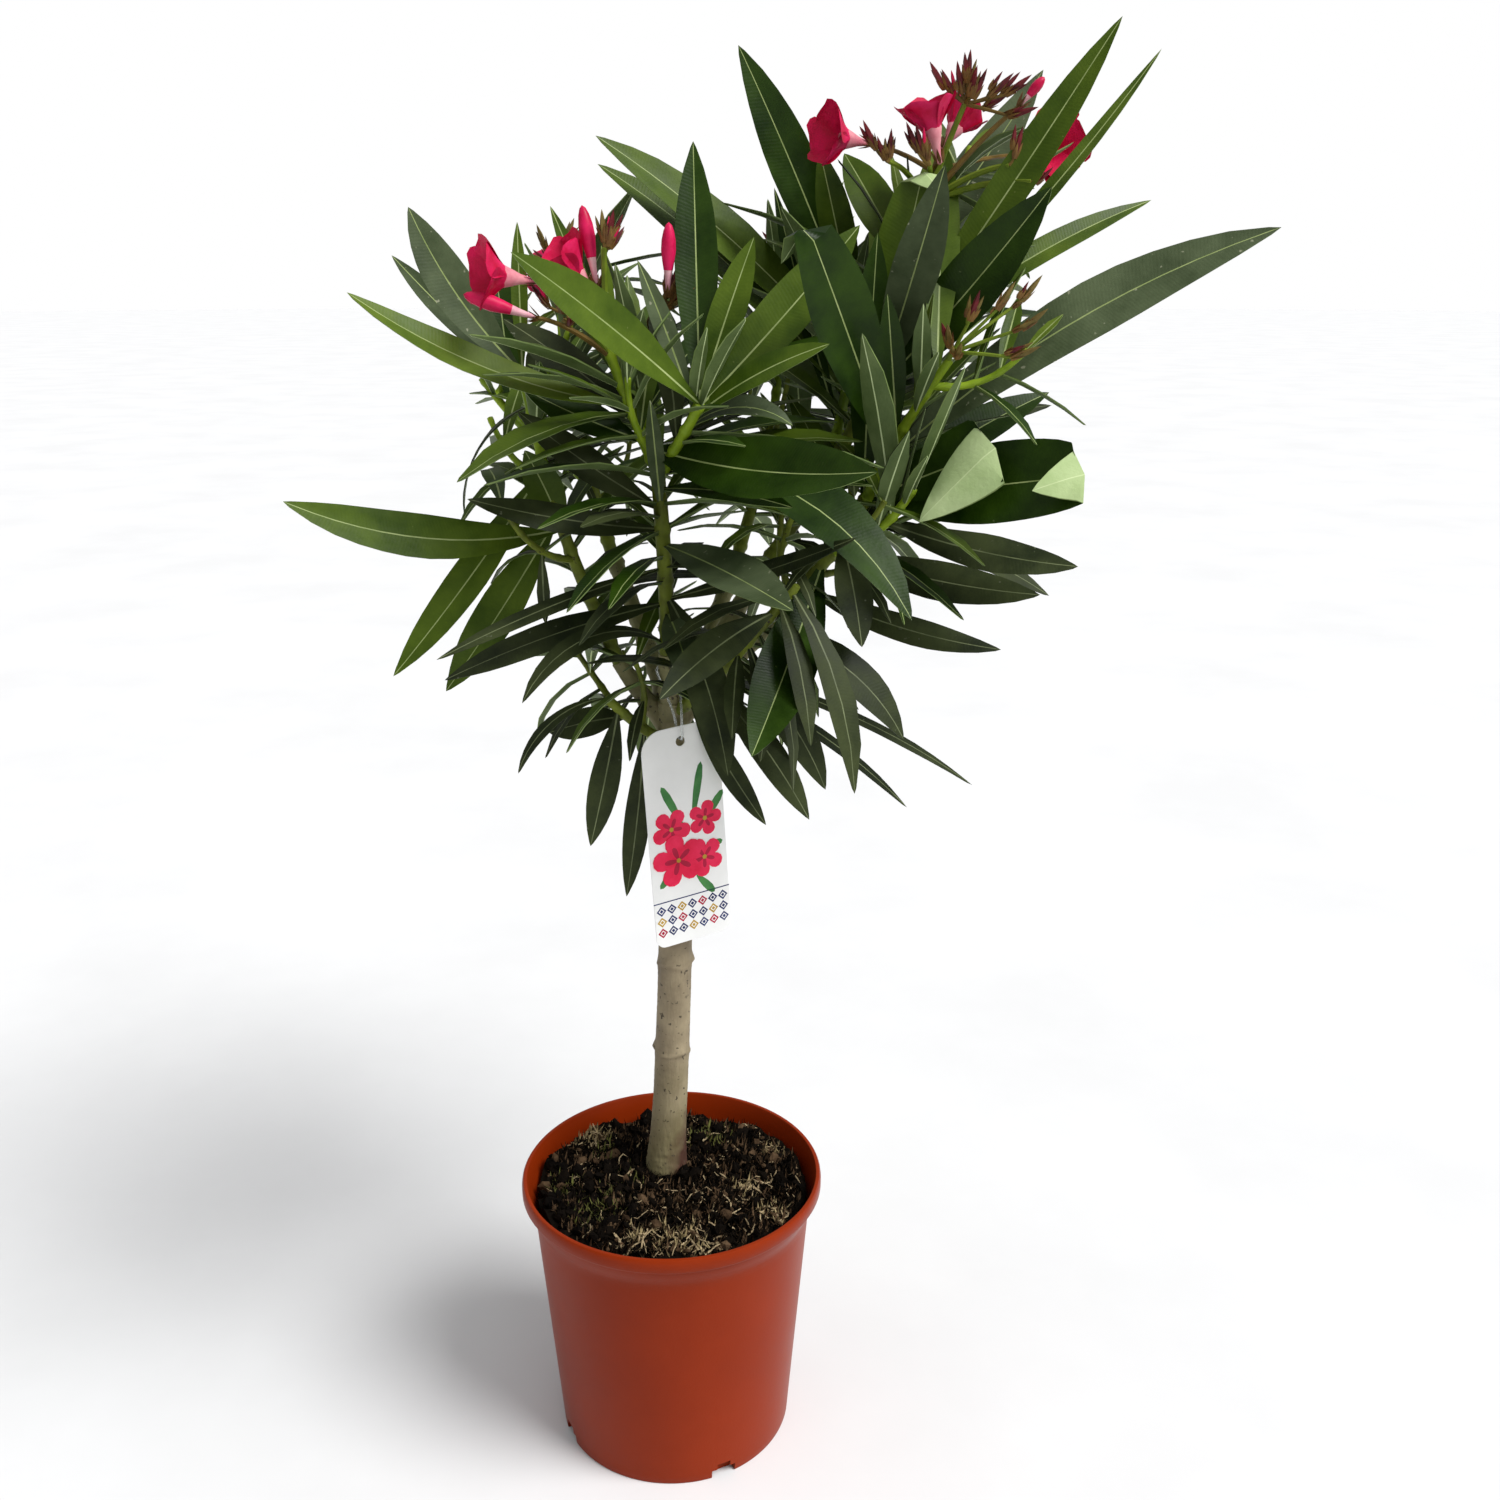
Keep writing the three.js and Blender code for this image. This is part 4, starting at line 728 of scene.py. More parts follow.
class Pile:
    """Corners and faces of many small closed shapes, joined into one mesh."""

    def __init__(self):
        self.corners, self.faces, self.paints, self.places = [], [], [], []
        self.count = 0

    def add(self, corners, faces, paints, places=None):
        self.faces += [tuple(self.count + i for i in face) for face in faces]
        self.paints += paints
        self.corners.append(corners)
        self.places.append(np.zeros((len(corners), 2)) if places is None else places)
        self.count += len(corners)

    def add_skin(self, start, rings, end, paints, places=None):
        """A closed skin over rings of corners, with a point at each end."""
        rows, round_count = rings.shape[:2]
        corners = np.vstack([start, rings.reshape(-1, 3), end])
        last = len(corners) - 1
        faces, colours = [], []
        for j in range(round_count):
            after = (j + 1) % round_count
            faces.append((0, 1 + j, 1 + after))
            colours.append(paints[j])
            for i in range(rows - 1):
                low, high = 1 + i * round_count, 1 + (i + 1) * round_count
                faces.append((low + j, high + j, high + after, low + after))
                colours.append(paints[j])
            top = 1 + (rows - 1) * round_count
            faces.append((last, top + after, top + j))
            colours.append(paints[j])
        self.add(corners, faces, colours, places)

    def mesh(self, name, materials, smooth=50):
        """The gathered shapes as one object, smooth up to an angle."""
        data = bpy.data.meshes.new(name)
        data.from_pydata((np.vstack(self.corners) * MM).tolist(), [], self.faces)
        for material in materials:
            data.materials.append(material)
        data.polygons.foreach_set("material_index", self.paints)
        layer = data.uv_layers.new(name="blade")
        index = np.zeros(len(data.loops), int)
        data.loops.foreach_get("vertex_index", index)
        layer.data.foreach_set("uv", np.vstack(self.places)[index].ravel())
        piece = put_in_scene(name, data)
        smooth_by_angle(piece, smooth)
        return piece


def put_in_scene(name, data):
    thing = bpy.data.objects.new(name, data)
    bpy.context.scene.collection.objects.link(thing)
    return thing


def clear_selection():
    bpy.ops.object.select_all(action="DESELECT")


def choose(piece):
    """Makes a piece the only selected and active one."""
    clear_selection()
    piece.select_set(True)
    bpy.context.view_layer.objects.active = piece


def smooth_by_angle(piece, degrees):
    choose(piece)
    bpy.ops.object.shade_smooth_by_angle(angle=math.radians(degrees))


def settle_place(piece):
    """Puts a piece's place into its mesh."""
    choose(piece)
    bpy.ops.object.transform_apply(location=True, rotation=True, scale=True)


def edit_parts(piece, mode, wanted):
    """Goes into edit mode with those corners, edges or faces selected that are wanted."""
    bpy.ops.object.mode_set(mode="EDIT")
    bpy.ops.mesh.select_mode(type=mode)
    bpy.ops.mesh.select_all(action="DESELECT")
    shape = bmesh.from_edit_mesh(piece.data)
    for part in {"VERT": shape.verts, "EDGE": shape.edges, "FACE": shape.faces}[mode]:
        part.select = wanted(part)
    bmesh.update_edit_mesh(piece.data)


def add_piece(piece, slot, *nodes):
    """Puts a finished piece on what it rides on and hides the solids that it stands for. The slot for its
    finish is not used.
    """
    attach(piece, "root")
    if nodes:
        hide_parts(*nodes)


# Leaves

LEAF_PAINTS = {"old": 0, "deep": 1, "mid": 2, "fresh": 3, "grey": 4}
# Undersides have a second, much paler copy for those that face the front: painted light over the underside's
# own paler green
RIB, MARGIN, UNDER, UNDER_RIB, UNDER_PAINTED_LIGHT, OLD_RIB = range(5, 11)
BLADE_THICK = 0.55


def blade_rings(leaf):
    """Rings of corners round the blade, their places on it, and the points at foot and tip."""
    rows = leaf.rows
    t = lerp(0.02, 0.975, np.linspace(0, 1, rows))
    spine = spine_at(leaf, t)
    _, side, up = leaf_directions(leaf, t)
    half = half_width(leaf, t)
    rib = np.minimum(lerp(0.55, 0.2, t), half * 0.5)
    keel = 0.2 + 1.2 * (1 - t) ** 2
    valley = 0.24 if leaf.tint != "old" else 0.1
    ruffle = 0.035 * half * np.sin(t * 17 + leaf.length)

    def top(x):
        return half * (valley * 1.3 * abs(x) - 0.1 * x * x) + ruffle * x * abs(x)

    corners = [(-1, "edge"), (-0.55, "top"), ("rib", -1), ("rib", 1), (0.55, "top"), (1, "edge"),
               (0.97, "under"), ("keel", 1), ("keel", -1), (-0.97, "under")]
    rings, places = [], []
    for where, kind in corners:
        if where == "rib":
            across, height = kind * rib, np.full(rows, 0.12)
        elif where == "keel":
            across, height = kind * rib, -BLADE_THICK - keel
        else:
            across = where * half
            height = top(where) - (BLADE_THICK if kind == "under" else 0)
        rings.append(spine + side * across[:, None] + up * height[:, None])
        places.append(np.stack([across, t * leaf.length], -1) * 0.01)
    rings = folded(leaf, np.array(rings).transpose(1, 0, 2))
    places = np.array(places).transpose(1, 0, 2).reshape(-1, 2)
    ends = folded(leaf, midrib(leaf)[[0, -1]])
    places = np.vstack([[0, 0], places, [0, leaf.length * 0.01]])
    return rings, places, ends


def add_leaf(pile, leaf):
    blade = LEAF_PAINTS[leaf.tint]
    # Undersides that face the front, the side the key light comes from, take the much paler copy: the real
    # paler underside with painted light over it
    under = UNDER_PAINTED_LIGHT if leaf.crease and leaf.crease[2][1] < 0 else UNDER
    rib, margin = (OLD_RIB, blade) if leaf.tint == "old" else (RIB, MARGIN)
    paints = [blade, blade, rib, blade, blade, margin, under, UNDER_RIB, under, margin]
    rings, places, (foot, tip) = blade_rings(leaf)
    pile.add_skin(foot, rings, tip, paints, places)


# Twigs

def tube_rings(points, radii, sides):
    """Rings of corners round a line of points, without twist."""
    points = np.asarray(points, float)
    along = np.gradient(points, axis=0)
    along /= np.linalg.norm(along, axis=1)[:, None]
    across = unit(np.cross(along[0], vec(0.31, 0.95, 0.1)))
    rings = []
    for point, way, radius in zip(points, along, radii):
        across = unit(across - way * (across @ way))
        over = np.cross(across, way)
        angle = np.arange(sides) * 2 * math.pi / sides
        rings.append(point + radius * (np.outer(np.cos(angle), across) + np.outer(np.sin(angle), over)))
    return np.array(rings)


def add_tube(pile, points, radii, sides, paint):
    points = np.asarray(points, float)
    rings = tube_rings(points, radii, sides)
    start = points[0] - unit(points[1] - points[0]) * 0.3 * radii[0]
    end = points[-1] + unit(points[-1] - points[-2]) * 0.3 * radii[-1]
    pile.add_skin(start, rings, end, [paint] * sides)


def add_twig(pile, shoot, sides, steps):
    """A shoot's twig, swollen at each whorl, with the rings that fallen leaves left below the first."""
    curve = Curve(shoot.route)
    length = np.linalg.norm(curve.third - curve.first)
    nodes = [lerp(shoot.first, shoot.last, i / max(shoot.whorls - 1, 1)) for i in range(shoot.whorls)]
    nodes += list(np.arange(shoot.first, 0, -14 / length)[1:])
    t = np.linspace(0, 1, steps)
    swell = sum(np.exp(-((t - node) * length / 1.8) ** 2) for node in nodes)
    radii = lerp(shoot.radii[0], shoot.radii[1], t) * (0.93 + 0.2 * np.minimum(swell, 1))
    share = 1 if shoot.ages == FULL_TO_YOUNG else 0
    add_tube(pile, curve.points(t), radii, sides, share)


# Blossom

SEPAL, STALK, BUD_SKIN, BUD_OPEN, GREEN_STALK, GREEN_BUD, TUBE_SKIN = range(7)


def add_spike(pile, foot, way, length, width, paint, bow=0.0):
    """A small pointed scale, such as a sepal or bract."""
    side = unit(np.cross(way, vec(0.2, 0.3, 0.93)))
    up = np.cross(side, way)
    t = np.array([0.02, 0.35, 0.7])
    half = width / 2 * np.array([0.8, 1, 0.55])
    spine = foot + way * (t * length)[:, None] + up * (bow * t * t * length)[:, None]
    ring = [(-1, 0.12), (1, 0.12), (0, -0.35)]
    rings = np.stack([spine + side * (x * half)[:, None] + up * (y * half)[:, None] for x, y in ring], 1)
    pile.add_skin(foot, rings, foot + way * length + up * bow * length, [paint] * 3)


def add_bud(pile, foot, way, length, run, paint):
    """A pointed bud in its five sepals."""
    radius = BUD["radius"] * length / BUD["length"]
    t = np.array([0, 0.16, 0.36, 0.6, 0.84])
    points = foot + way * (t * length)[:, None]
    rings = tube_rings(points, radius * np.array([0.55, 0.9, 1, 0.85, 0.42]), 5)
    pile.add_skin(foot - way, rings, foot + way * length, [paint] * 5)
    side = unit(np.cross(way, vec(0.4, 0.5, 0.77)))
    over = np.cross(side, way)
    first = run.chance()
    for i in range(5):
        out = spoke(side, over, i * 2 * math.pi / 5 + first)
        size = BUD["sepal"] * (0.8 + 0.4 * run.chance()) * length / BUD["length"]
        add_spike(pile, foot - way * 1.5 + out * radius * 0.5, unit(way + out * 0.2), size, 2.4, SEPAL, 0.05)


def stalk_to(pile, curve, end, thick, paint):
    """A stalk that leaves the shoot and bends over to a given point."""
    point, along, _, _ = curve.frame(STALK_FROM)
    line = Curve([point, lerp(point, vec(*end), 0.5) + along * 4, end])
    t = np.linspace(0, 1, 9)
    add_tube(pile, line.points(t), lerp(STALK_RADII["foot"], thick, t), 6, paint)


def add_head(pile, hub, ripe, tips, run):
    """Stalks that fan out from the hub, each with a group of buds."""
    hub = vec(*hub)
    stalk_paint = STALK if ripe > 0.5 else GREEN_STALK
    for number, tip in enumerate(tips):
        chord = vec(*tip) - hub
        way = unit(unit(chord) + vec(0, 0, 0.35))
        length = min(BUD["length"], np.linalg.norm(chord) * 0.8)
        fork = vec(*tip) - way * length
        line = Curve([hub, lerp(hub, fork, 0.5) + vec(0, 0, run.spread(1)), fork])
        t = np.linspace(0, 1, 6)
        add_tube(pile, line.points(t), lerp(1.1, 0.75, t), 6, stalk_paint)
        add_bud(pile, fork, way, length, run, bud_paint(run, ripe))
        across = unit(np.cross(way, vec(0.3, 0.9, 0.2)))
        over = np.cross(across, way)
        for turn in range(1 + number % 2):
            beside = spoke(across, over, number + 2.2 * turn + run.spread(0.3))
            lean = unit(way + beside * (0.45 + run.spread(0.15)))
            start = line.point(0.8 + 0.1 * turn)
            end = start + lean * (4 + run.spread(1.5))
            add_tube(pile, [start, lerp(start, end, 0.5), end], [0.75, 0.7, 0.65], 5, stalk_paint)
            size = length * (0.7 + run.spread(0.15))
            add_bud(pile, end, unit(lean + way * 0.8), size, run, bud_paint(run, ripe))
            add_spike(pile, start, unit(lean + way), 5, 1.6, SEPAL, 0.1)


def add_spindle(pile, foot, tip, run):
    """A flower whose petals are still rolled up: a pale tube in its sepals, then the rolled petals."""
    foot, tip = vec(*foot), vec(*tip)
    length = np.linalg.norm(tip - foot)
    way = unit(tip - foot)
    size = (length / 30) ** 0.5
    parts = [
        (foot - way, [0, 0.1, 0.2, 0.3, 0.4], [1.1, 1.3, 1.6, 2.1, 2.4],
         foot + way * length * 0.45, TUBE_SKIN),
        (foot + way * length * 0.3, [0.33, 0.45, 0.6, 0.75, 0.88, 0.96], [2.3, 3, 3.7, 3.5, 2.6, 1.5],
         tip, BUD_OPEN),
    ]
    for start, shares, radii, end, paint in parts:
        line = foot + way * (np.array(shares) * length)[:, None]
        pile.add_skin(start, tube_rings(line, size * np.array(radii), 8), end, [paint] * 8)
    side = unit(np.cross(way, vec(0.4, 0.5, 0.77)))
    over = np.cross(side, way)
    for i in range(6):
        out = spoke(side, over, i * math.pi / 3 + run.spread(0.3))
        add_spike(pile, foot - way * 2 + out, unit(way + out * (0.5 + run.spread(0.2))), 8, 2, SEPAL, 0.05)


def bud_paint(run, ripe):
    """Ripe buds are dark crimson, a few of them about to open; the others are still green."""
    if run.chance() > ripe:
        return GREEN_BUD
    return BUD_OPEN if run.chance() < 0.1 else BUD_SKIN


PETAL, PETAL_BACK, TUBE = range(3)
# The tube's wall, outside and then back down inside: shares of the tube's length and the throat's radius
THROAT_WALL = [
    (0.0, 0.3), (0.25, 0.34), (0.5, 0.5), (0.75, 0.8), (1.0, 1.08), (1.08, 1.0), (0.75, 0.7), (0.4, 0.3),
]


def add_petal(pile, heart, look, across, over, size, stand, angle, run):
    """One petal: narrow at the throat, broad and slantwise at its end, over the next one's side."""
    s = np.array([0, 0.18, 0.38, 0.58, 0.76, 0.9, 0.98])
    lift = np.radians(lerp(max(74, stand), stand, s ** 0.8))
    step = FLOWER["petal"] * size * np.diff(s)
    reach = FLOWER["throat"] * size * 0.8 + np.concatenate([[0], np.cumsum(np.cos(lift[1:]) * step)])
    height = np.concatenate([[0], np.cumsum(np.sin(lift[1:]) * step)]) - 1.5
    broad = FLOWER["petal_width"] / 2 * size * (1 - 0.45 * clamp(stand / 90))
    half = broad * np.array([0.34, 0.56, 0.82, 0.98, 1, 0.82, 0.46])
    swing = angle + 0.22 * s ** 1.5
    ruffle = run.chance() * 6
    columns = [(-1, 0), (-0.5, 0), (0, 0), (0.5, 0), (1, 0), (0.6, -1), (0, -1), (-0.6, -1)]
    out = np.outer(np.cos(swing), across) + np.outer(np.sin(swing), over)
    beside = -np.outer(np.sin(swing), across) + np.outer(np.cos(swing), over)
    rings = []
    for x, side in columns:
        slant = 0.08 * x * s * FLOWER["petal"] * size
        wave = (0.6 * np.sin(3 * x + ruffle) * s + 1.0 * x * s) * size
        level = height + wave + 0.35 * side + (2.2 * x * x * (1 - 0.6 * s)) * size
        line = heart + out * (reach + slant)[:, None] + beside * (x * half)[:, None]
        rings.append(line + np.outer(level, look))
    rings = np.array(rings).transpose(1, 0, 2)
    start, end = rings[0].mean(0), rings[-1].mean(0) + (rings[-1].mean(0) - rings[-2].mean(0)) * 0.4
    pile.add_skin(start, rings, end, [PETAL] * 4 + [PETAL_BACK] * 4)


def add_flower(pile, stalks, curve, heart, look, size, stand, run):
    """A stalk from the shoot's end, a tube that widens to the throat, and five petals."""
    look = unit(look)
    across = unit(np.cross(look, vec(0.3, 0.2, 1)))
    over = np.cross(across, look)
    tube = FLOWER["tube"] * size
    neck = heart - look * tube
    foot = curve.point(0.98)
    stalk = Curve([foot, lerp(foot, neck, 0.5) + vec(0, 0, 2), neck])
    t = np.linspace(0, 1, 8)
    add_tube(stalks, stalk.points(t), lerp(1.5, 1.0, t), 6, STALK)
    for i in range(5):
        out = spoke(across, over, i * 2 * math.pi / 5)
        add_spike(stalks, neck + out * 1.2, unit(look + out * 0.35), BUD["sepal"], 2.4, SEPAL, 0.05)
    throat = FLOWER["throat"] * size
    angle = np.arange(10) * math.pi / 5
    ring = np.outer(np.cos(angle), across) + np.outer(np.sin(angle), over)
    rings = np.array([neck + look * tube * h + ring * throat * r for h, r in THROAT_WALL])
    pile.add_skin(neck - look, rings, neck + look * tube * 0.35, [TUBE] * 10)
    for i in range(FLOWER["petals"]):
        turn = i * 2 * math.pi / FLOWER["petals"] + run.spread(0.12)
        add_petal(pile, heart, look, across, over, size, clamp(stand + run.spread(7), 0, 102), turn, run)
        out = spoke(across, over, turn)
        add_spike(pile, heart + out * throat * 0.6, unit(look + out * 0.3), 5 * size, 2.6, PETAL_BACK, 0.2)


# Finishes

def colour(code):
    """A colour as the shader takes it, from its hex code."""
    channels = [int(code[i:i + 2], 16) / 255 for i in (0, 2, 4)]
    return tuple(c / 12.92 if c <= 0.04045 else ((c + 0.055) / 1.055) ** 2.4 for c in channels) + (1.0,)


def feed(tree, socket, value):
    """Links a socket to an output, or sets it to a plain value."""
    if isinstance(value, bpy.types.NodeSocket):
        tree.links.new(value, socket)
    else:
        socket.default_value = value


def add_node(tree, kind, settings=None, **inputs):
    node = tree.nodes.new(kind)
    for key, value in (settings or {}).items():
        setattr(node, key, value)
    for key, value in inputs.items():
        feed(tree, node.inputs[key.replace("_", " ")], value)
    return node


def mix_colours(tree, factor, first, second):
    node = add_node(tree, "ShaderNodeMix", {"data_type": "RGBA"})
    for socket, value in zip((node.inputs[0], node.inputs[6], node.inputs[7]), (factor, first, second)):
        feed(tree, socket, value)
    return node.outputs[2]


def do_math(tree, operation, first, second=0.0):
    node = add_node(tree, "ShaderNodeMath", {"operation": operation})
    feed(tree, node.inputs[0], first)
    feed(tree, node.inputs[1], second)
    return node.outputs[0]


def map_range(tree, value, low, high, to_low=0.0, to_high=1.0):
    node = add_node(tree, "ShaderNodeMapRange", From_Min=low, From_Max=high, To_Min=to_low, To_Max=to_high)
    feed(tree, node.inputs["Value"], value)
    return node.outputs["Result"]


def new_group(name, inputs, outputs):
    """A shader group with named inputs and outputs, and its first nodes."""
    group = bpy.data.node_groups.new(name, "ShaderNodeTree")
    for label, kind in inputs:
        group.interface.new_socket(label, in_out="INPUT", socket_type=kind)
    for label, kind in outputs:
        group.interface.new_socket(label, in_out="OUTPUT", socket_type=kind)
    return group, group.nodes.new("NodeGroupInput").outputs, group.nodes.new("NodeGroupOutput").inputs


def object_place(tree):
    return add_node(tree, "ShaderNodeTexCoord").outputs["Object"]


def add_noise(tree, scale, detail, roughness=0.5):
    node = add_node(tree, "ShaderNodeTexNoise", Vector=object_place(tree), Scale=scale, Detail=detail,
                    Roughness=roughness)
    return node.outputs["Fac"]


def make_mottle_group():
    """Soft patches of two colours."""
    group, given, result = new_group(
        "mottle", [("Scale", "NodeSocketFloat"), ("Deep", "NodeSocketColor"), ("Pale", "NodeSocketColor")],
        [("Colour", "NodeSocketColor"), ("Mask", "NodeSocketFloat")])
    patches = add_noise(group, given["Scale"], 5.0, 0.6)
    mask = map_range(group, patches, 0.34, 0.66)
    feed(group, result["Colour"], mix_colours(group, mask, given["Deep"], given["Pale"]))
    feed(group, result["Mask"], mask)
    return group


def make_fleck_group():
    """Small flecks: the share says how many there are."""
    group, given, result = new_group(
        "flecks", [("Scale", "NodeSocketFloat"), ("Share", "NodeSocketFloat")], [("Mask", "NodeSocketFloat")])
    grain = add_noise(group, given["Scale"], 2.0)
    edge = do_math(group, "SUBTRACT", 0.82, do_math(group, "MULTIPLY", given["Share"], 0.5))
    over = do_math(group, "SUBTRACT", grain, edge)
    feed(group, result["Mask"], map_range(group, over, 0.0, 0.06))
    return group


def make_grain_group():
    """Fine relief for a bump, stretched along Z."""
    group, given, result = new_group(
        "grain", [("Scale", "NodeSocketFloat"), ("Stretch", "NodeSocketFloat")],
        [("Height", "NodeSocketFloat")])
    squeeze = add_node(group, "ShaderNodeCombineXYZ", X=1.0, Y=1.0, Z=given["Stretch"])
    place = add_node(group, "ShaderNodeVectorMath", {"operation": "MULTIPLY"})
    feed(group, place.inputs[0], object_place(group))
    feed(group, place.inputs[1], squeeze.outputs[0])
    grain = add_node(group, "ShaderNodeTexNoise", Vector=place.outputs[0], Scale=given["Scale"], Detail=3.0)
    feed(group, result["Height"], grain.outputs["Fac"])
    return group


def make_vein_group():
    """Fine side veins that leave the midrib at a steep angle; reads the leaf's own map."""
    group, _, result = new_group("side_veins", [], [("Height", "NodeSocketFloat")])
    place = add_node(group, "ShaderNodeUVMap", {"uv_map": "blade"})
    parts = add_node(group, "ShaderNodeSeparateXYZ", Vector=place.outputs[0])
    slant = do_math(group, "MULTIPLY", do_math(group, "ABSOLUTE", parts.outputs["X"]), 0.35)
    along = do_math(group, "SUBTRACT", parts.outputs["Y"], slant)
    wave = do_math(group, "SINE", do_math(group, "MULTIPLY", along, 330.0))
    feed(group, result["Height"], wave)
    return group


MOTTLE = make_mottle_group()
FLECKS = make_fleck_group()
GRAIN = make_grain_group()
VEINS = make_vein_group()


def new_material(name):
    material = bpy.data.materials.new(name)
    material.use_nodes = True
    return material, material.node_tree, material.node_tree.nodes["Principled BSDF"]


def add_bump(tree, height, strength, distance, **inputs):
    node = add_node(tree, "ShaderNodeBump", Strength=strength, Distance=distance, Height=height, **inputs)
    return node.outputs["Normal"]


def use_group(tree, group, **inputs):
    return add_node(tree, "ShaderNodeGroup", {"node_tree": group}, **inputs).outputs


def finish(name, deep, pale, scale, roughness, grain=None, flecks=None, shine=0.2):
    """A finish in two mottled colours, with fine relief and flecks where they are given."""
    material, tree, shader = new_material(name)
    shader.inputs["Specular IOR Level"].default_value = shine
    mottle = use_group(tree, MOTTLE, Scale=scale, Deep=colour(deep), Pale=colour(pale))
    tone = mottle["Colour"]
    if flecks:
        fleck_colour, fleck_scale, share = flecks
        mask = use_group(tree, FLECKS, Scale=fleck_scale, Share=share)["Mask"]
        tone = mix_colours(tree, mask, tone, colour(fleck_colour))
    feed(tree, shader.inputs["Base Color"], tone)
    feed(tree, shader.inputs["Roughness"], map_range(tree, mottle["Mask"], 0.0, 1.0, *roughness))
    if grain:
        grain_scale, stretch, depth = grain
        height = use_group(tree, GRAIN, Scale=grain_scale, Stretch=stretch)["Height"]
        feed(tree, shader.inputs["Normal"], add_bump(tree, height, 1.0, depth))
    return material


def leaf_finish(name, deep, pale, roughness, flecks):
    """A leathery blade: mottled green, faint side veins and dusty flecks."""
    material = finish(name, deep, pale, 26, roughness, None, flecks, 0.14)
    tree = material.node_tree
    shader = tree.nodes["Principled BSDF"]
    veins = use_group(tree, VEINS)["Height"]
    grain = use_group(tree, GRAIN, Scale=420.0, Stretch=1.0)["Height"]
    relief = add_bump(tree, grain, 0.5, 0.0002, Normal=add_bump(tree, veins, 0.3, 0.00004))
    feed(tree, shader.inputs["Normal"], relief)
    return material


def bark_finish():
    """Smooth grey-brown bark with fine specks: greener low down, and red-brown where the foot peels."""
    material, tree, shader = new_material("bark")
    mottle = use_group(tree, MOTTLE, Scale=38.0, Deep=colour("766850"), Pale=colour("9b8d71"))
    place = add_node(tree, "ShaderNodeSeparateXYZ", Vector=object_place(tree)).outputs
    height = place["Z"]
    uneven = do_math(tree, "ADD", height, do_math(tree, "MULTIPLY", add_noise(tree, 70.0, 4.0), -0.05))
    greener = map_range(tree, uneven, 0.15, 0.24, 0.55, 0.0)
    green = mix_colours(tree, greener, mottle["Colour"], colour("75703f"))
    peeled = do_math(tree, "SUBTRACT", uneven, do_math(tree, "MULTIPLY", place["X"], 2.2))
    foot = mix_colours(tree, map_range(tree, peeled, 0.142, 0.17, 0.95, 0.0), green, colour("46241a"))
    top = mix_colours(tree, map_range(tree, height, 0.42, 0.52, 0.0, 0.7), foot, colour("6f7340"))
    specks = use_group(tree, FLECKS, Scale=330.0, Share=0.36)["Mask"]
    feed(tree, shader.inputs["Base Color"], mix_colours(tree, specks, top, colour("4b4130")))
    feed(tree, shader.inputs["Roughness"], map_range(tree, mottle["Mask"], 0.0, 1.0, 0.62, 0.8))
    grain = use_group(tree, GRAIN, Scale=520.0, Stretch=0.25)["Height"]
    feed(tree, shader.inputs["Normal"], add_bump(tree, grain, 0.8, 0.0006))
    return material


def tie_finish():
    """Clear plastic line."""
    material, tree, shader = new_material("tie_clear")
    mottle = use_group(tree, MOTTLE, Scale=90.0, Deep=colour("d9dedd"), Pale=colour("f2f4f3"))
    feed(tree, shader.inputs["Base Color"], mottle["Colour"])
    feed(tree, shader.inputs["Roughness"], map_range(tree, mottle["Mask"], 0.0, 1.0, 0.12, 0.25))
    shader.inputs["Transmission Weight"].default_value = 0.75
    shader.inputs["IOR"].default_value = 1.45
    return material


LEAF_FINISHES = [
    leaf_finish("leaf_old", "1b2310", "3b4324", (0.45, 0.6), ("5f6350", 240.0, 0.2)),
    leaf_finish("leaf_deep", "122502", "2a4108", (0.34, 0.46), ("56623c", 260.0, 0.12)),
    leaf_finish("leaf_mid", "30440a", "4e6216", (0.36, 0.48), ("6d7840", 260.0, 0.12)),
    leaf_finish("leaf_fresh", "435811", "617423", (0.38, 0.48), ("87904e", 260.0, 0.08)),
    leaf_finish("leaf_grey", "344026", "566244", (0.45, 0.58), ("8a8d74", 240.0, 0.26)),
    finish("leaf_midrib", "7d8d52", "9eab70", 60, (0.4, 0.5)),
    finish("leaf_margin", "5c6f3c", "788a50", 60, (0.4, 0.5)),
    finish("leaf_underside", "4a5c30", "627344", 30, (0.5, 0.6), (420.0, 1.0, 0.0003)),
    finish("leaf_underside_rib", "b3c48c", "c9d8a4", 60, (0.5, 0.6)),
    # Much paler copy of the underside, for undersides that face the front: painted light over the underside's
    # own green
    finish("leaf_back_painted_light", "9bb276", "b2c48e", 30, (0.5, 0.6), (420.0, 1.0, 0.0003)),
    finish("leaf_old_midrib", "545c3e", "747c58", 60, (0.45, 0.55)),
]
TWIG_FINISHES = [
    finish("twig_ripe", "4e561a", "727e26", 60, (0.5, 0.62), (420.0, 0.3, 0.0004), ("35311d", 300.0, 0.3)),
    finish("twig_green", "66801a", "90aa26", 50, (0.4, 0.5), (420.0, 0.3, 0.0002)),
]
BUD_FINISHES = [
    finish("sepal", "523420", "80602f", 120, (0.45, 0.6)),
    finish("flower_stalk", "5c4a20", "78602c", 80, (0.45, 0.6), (500.0, 0.5, 0.0002)),
    finish("bud_closed", "3a0e10", "722228", 110, (0.35, 0.5)),
    finish("bud_opening", "b0063a", "d81a58", 90, (0.35, 0.5)),
    finish("flower_stalk_green", "566a16", "748526", 80, (0.45, 0.6), (500.0, 0.5, 0.0002)),
    finish("bud_green", "544620", "776634", 110, (0.4, 0.55)),
    finish("rolled_tube", "d2889a", "e8b8bc", 90, (0.5, 0.6)),
]
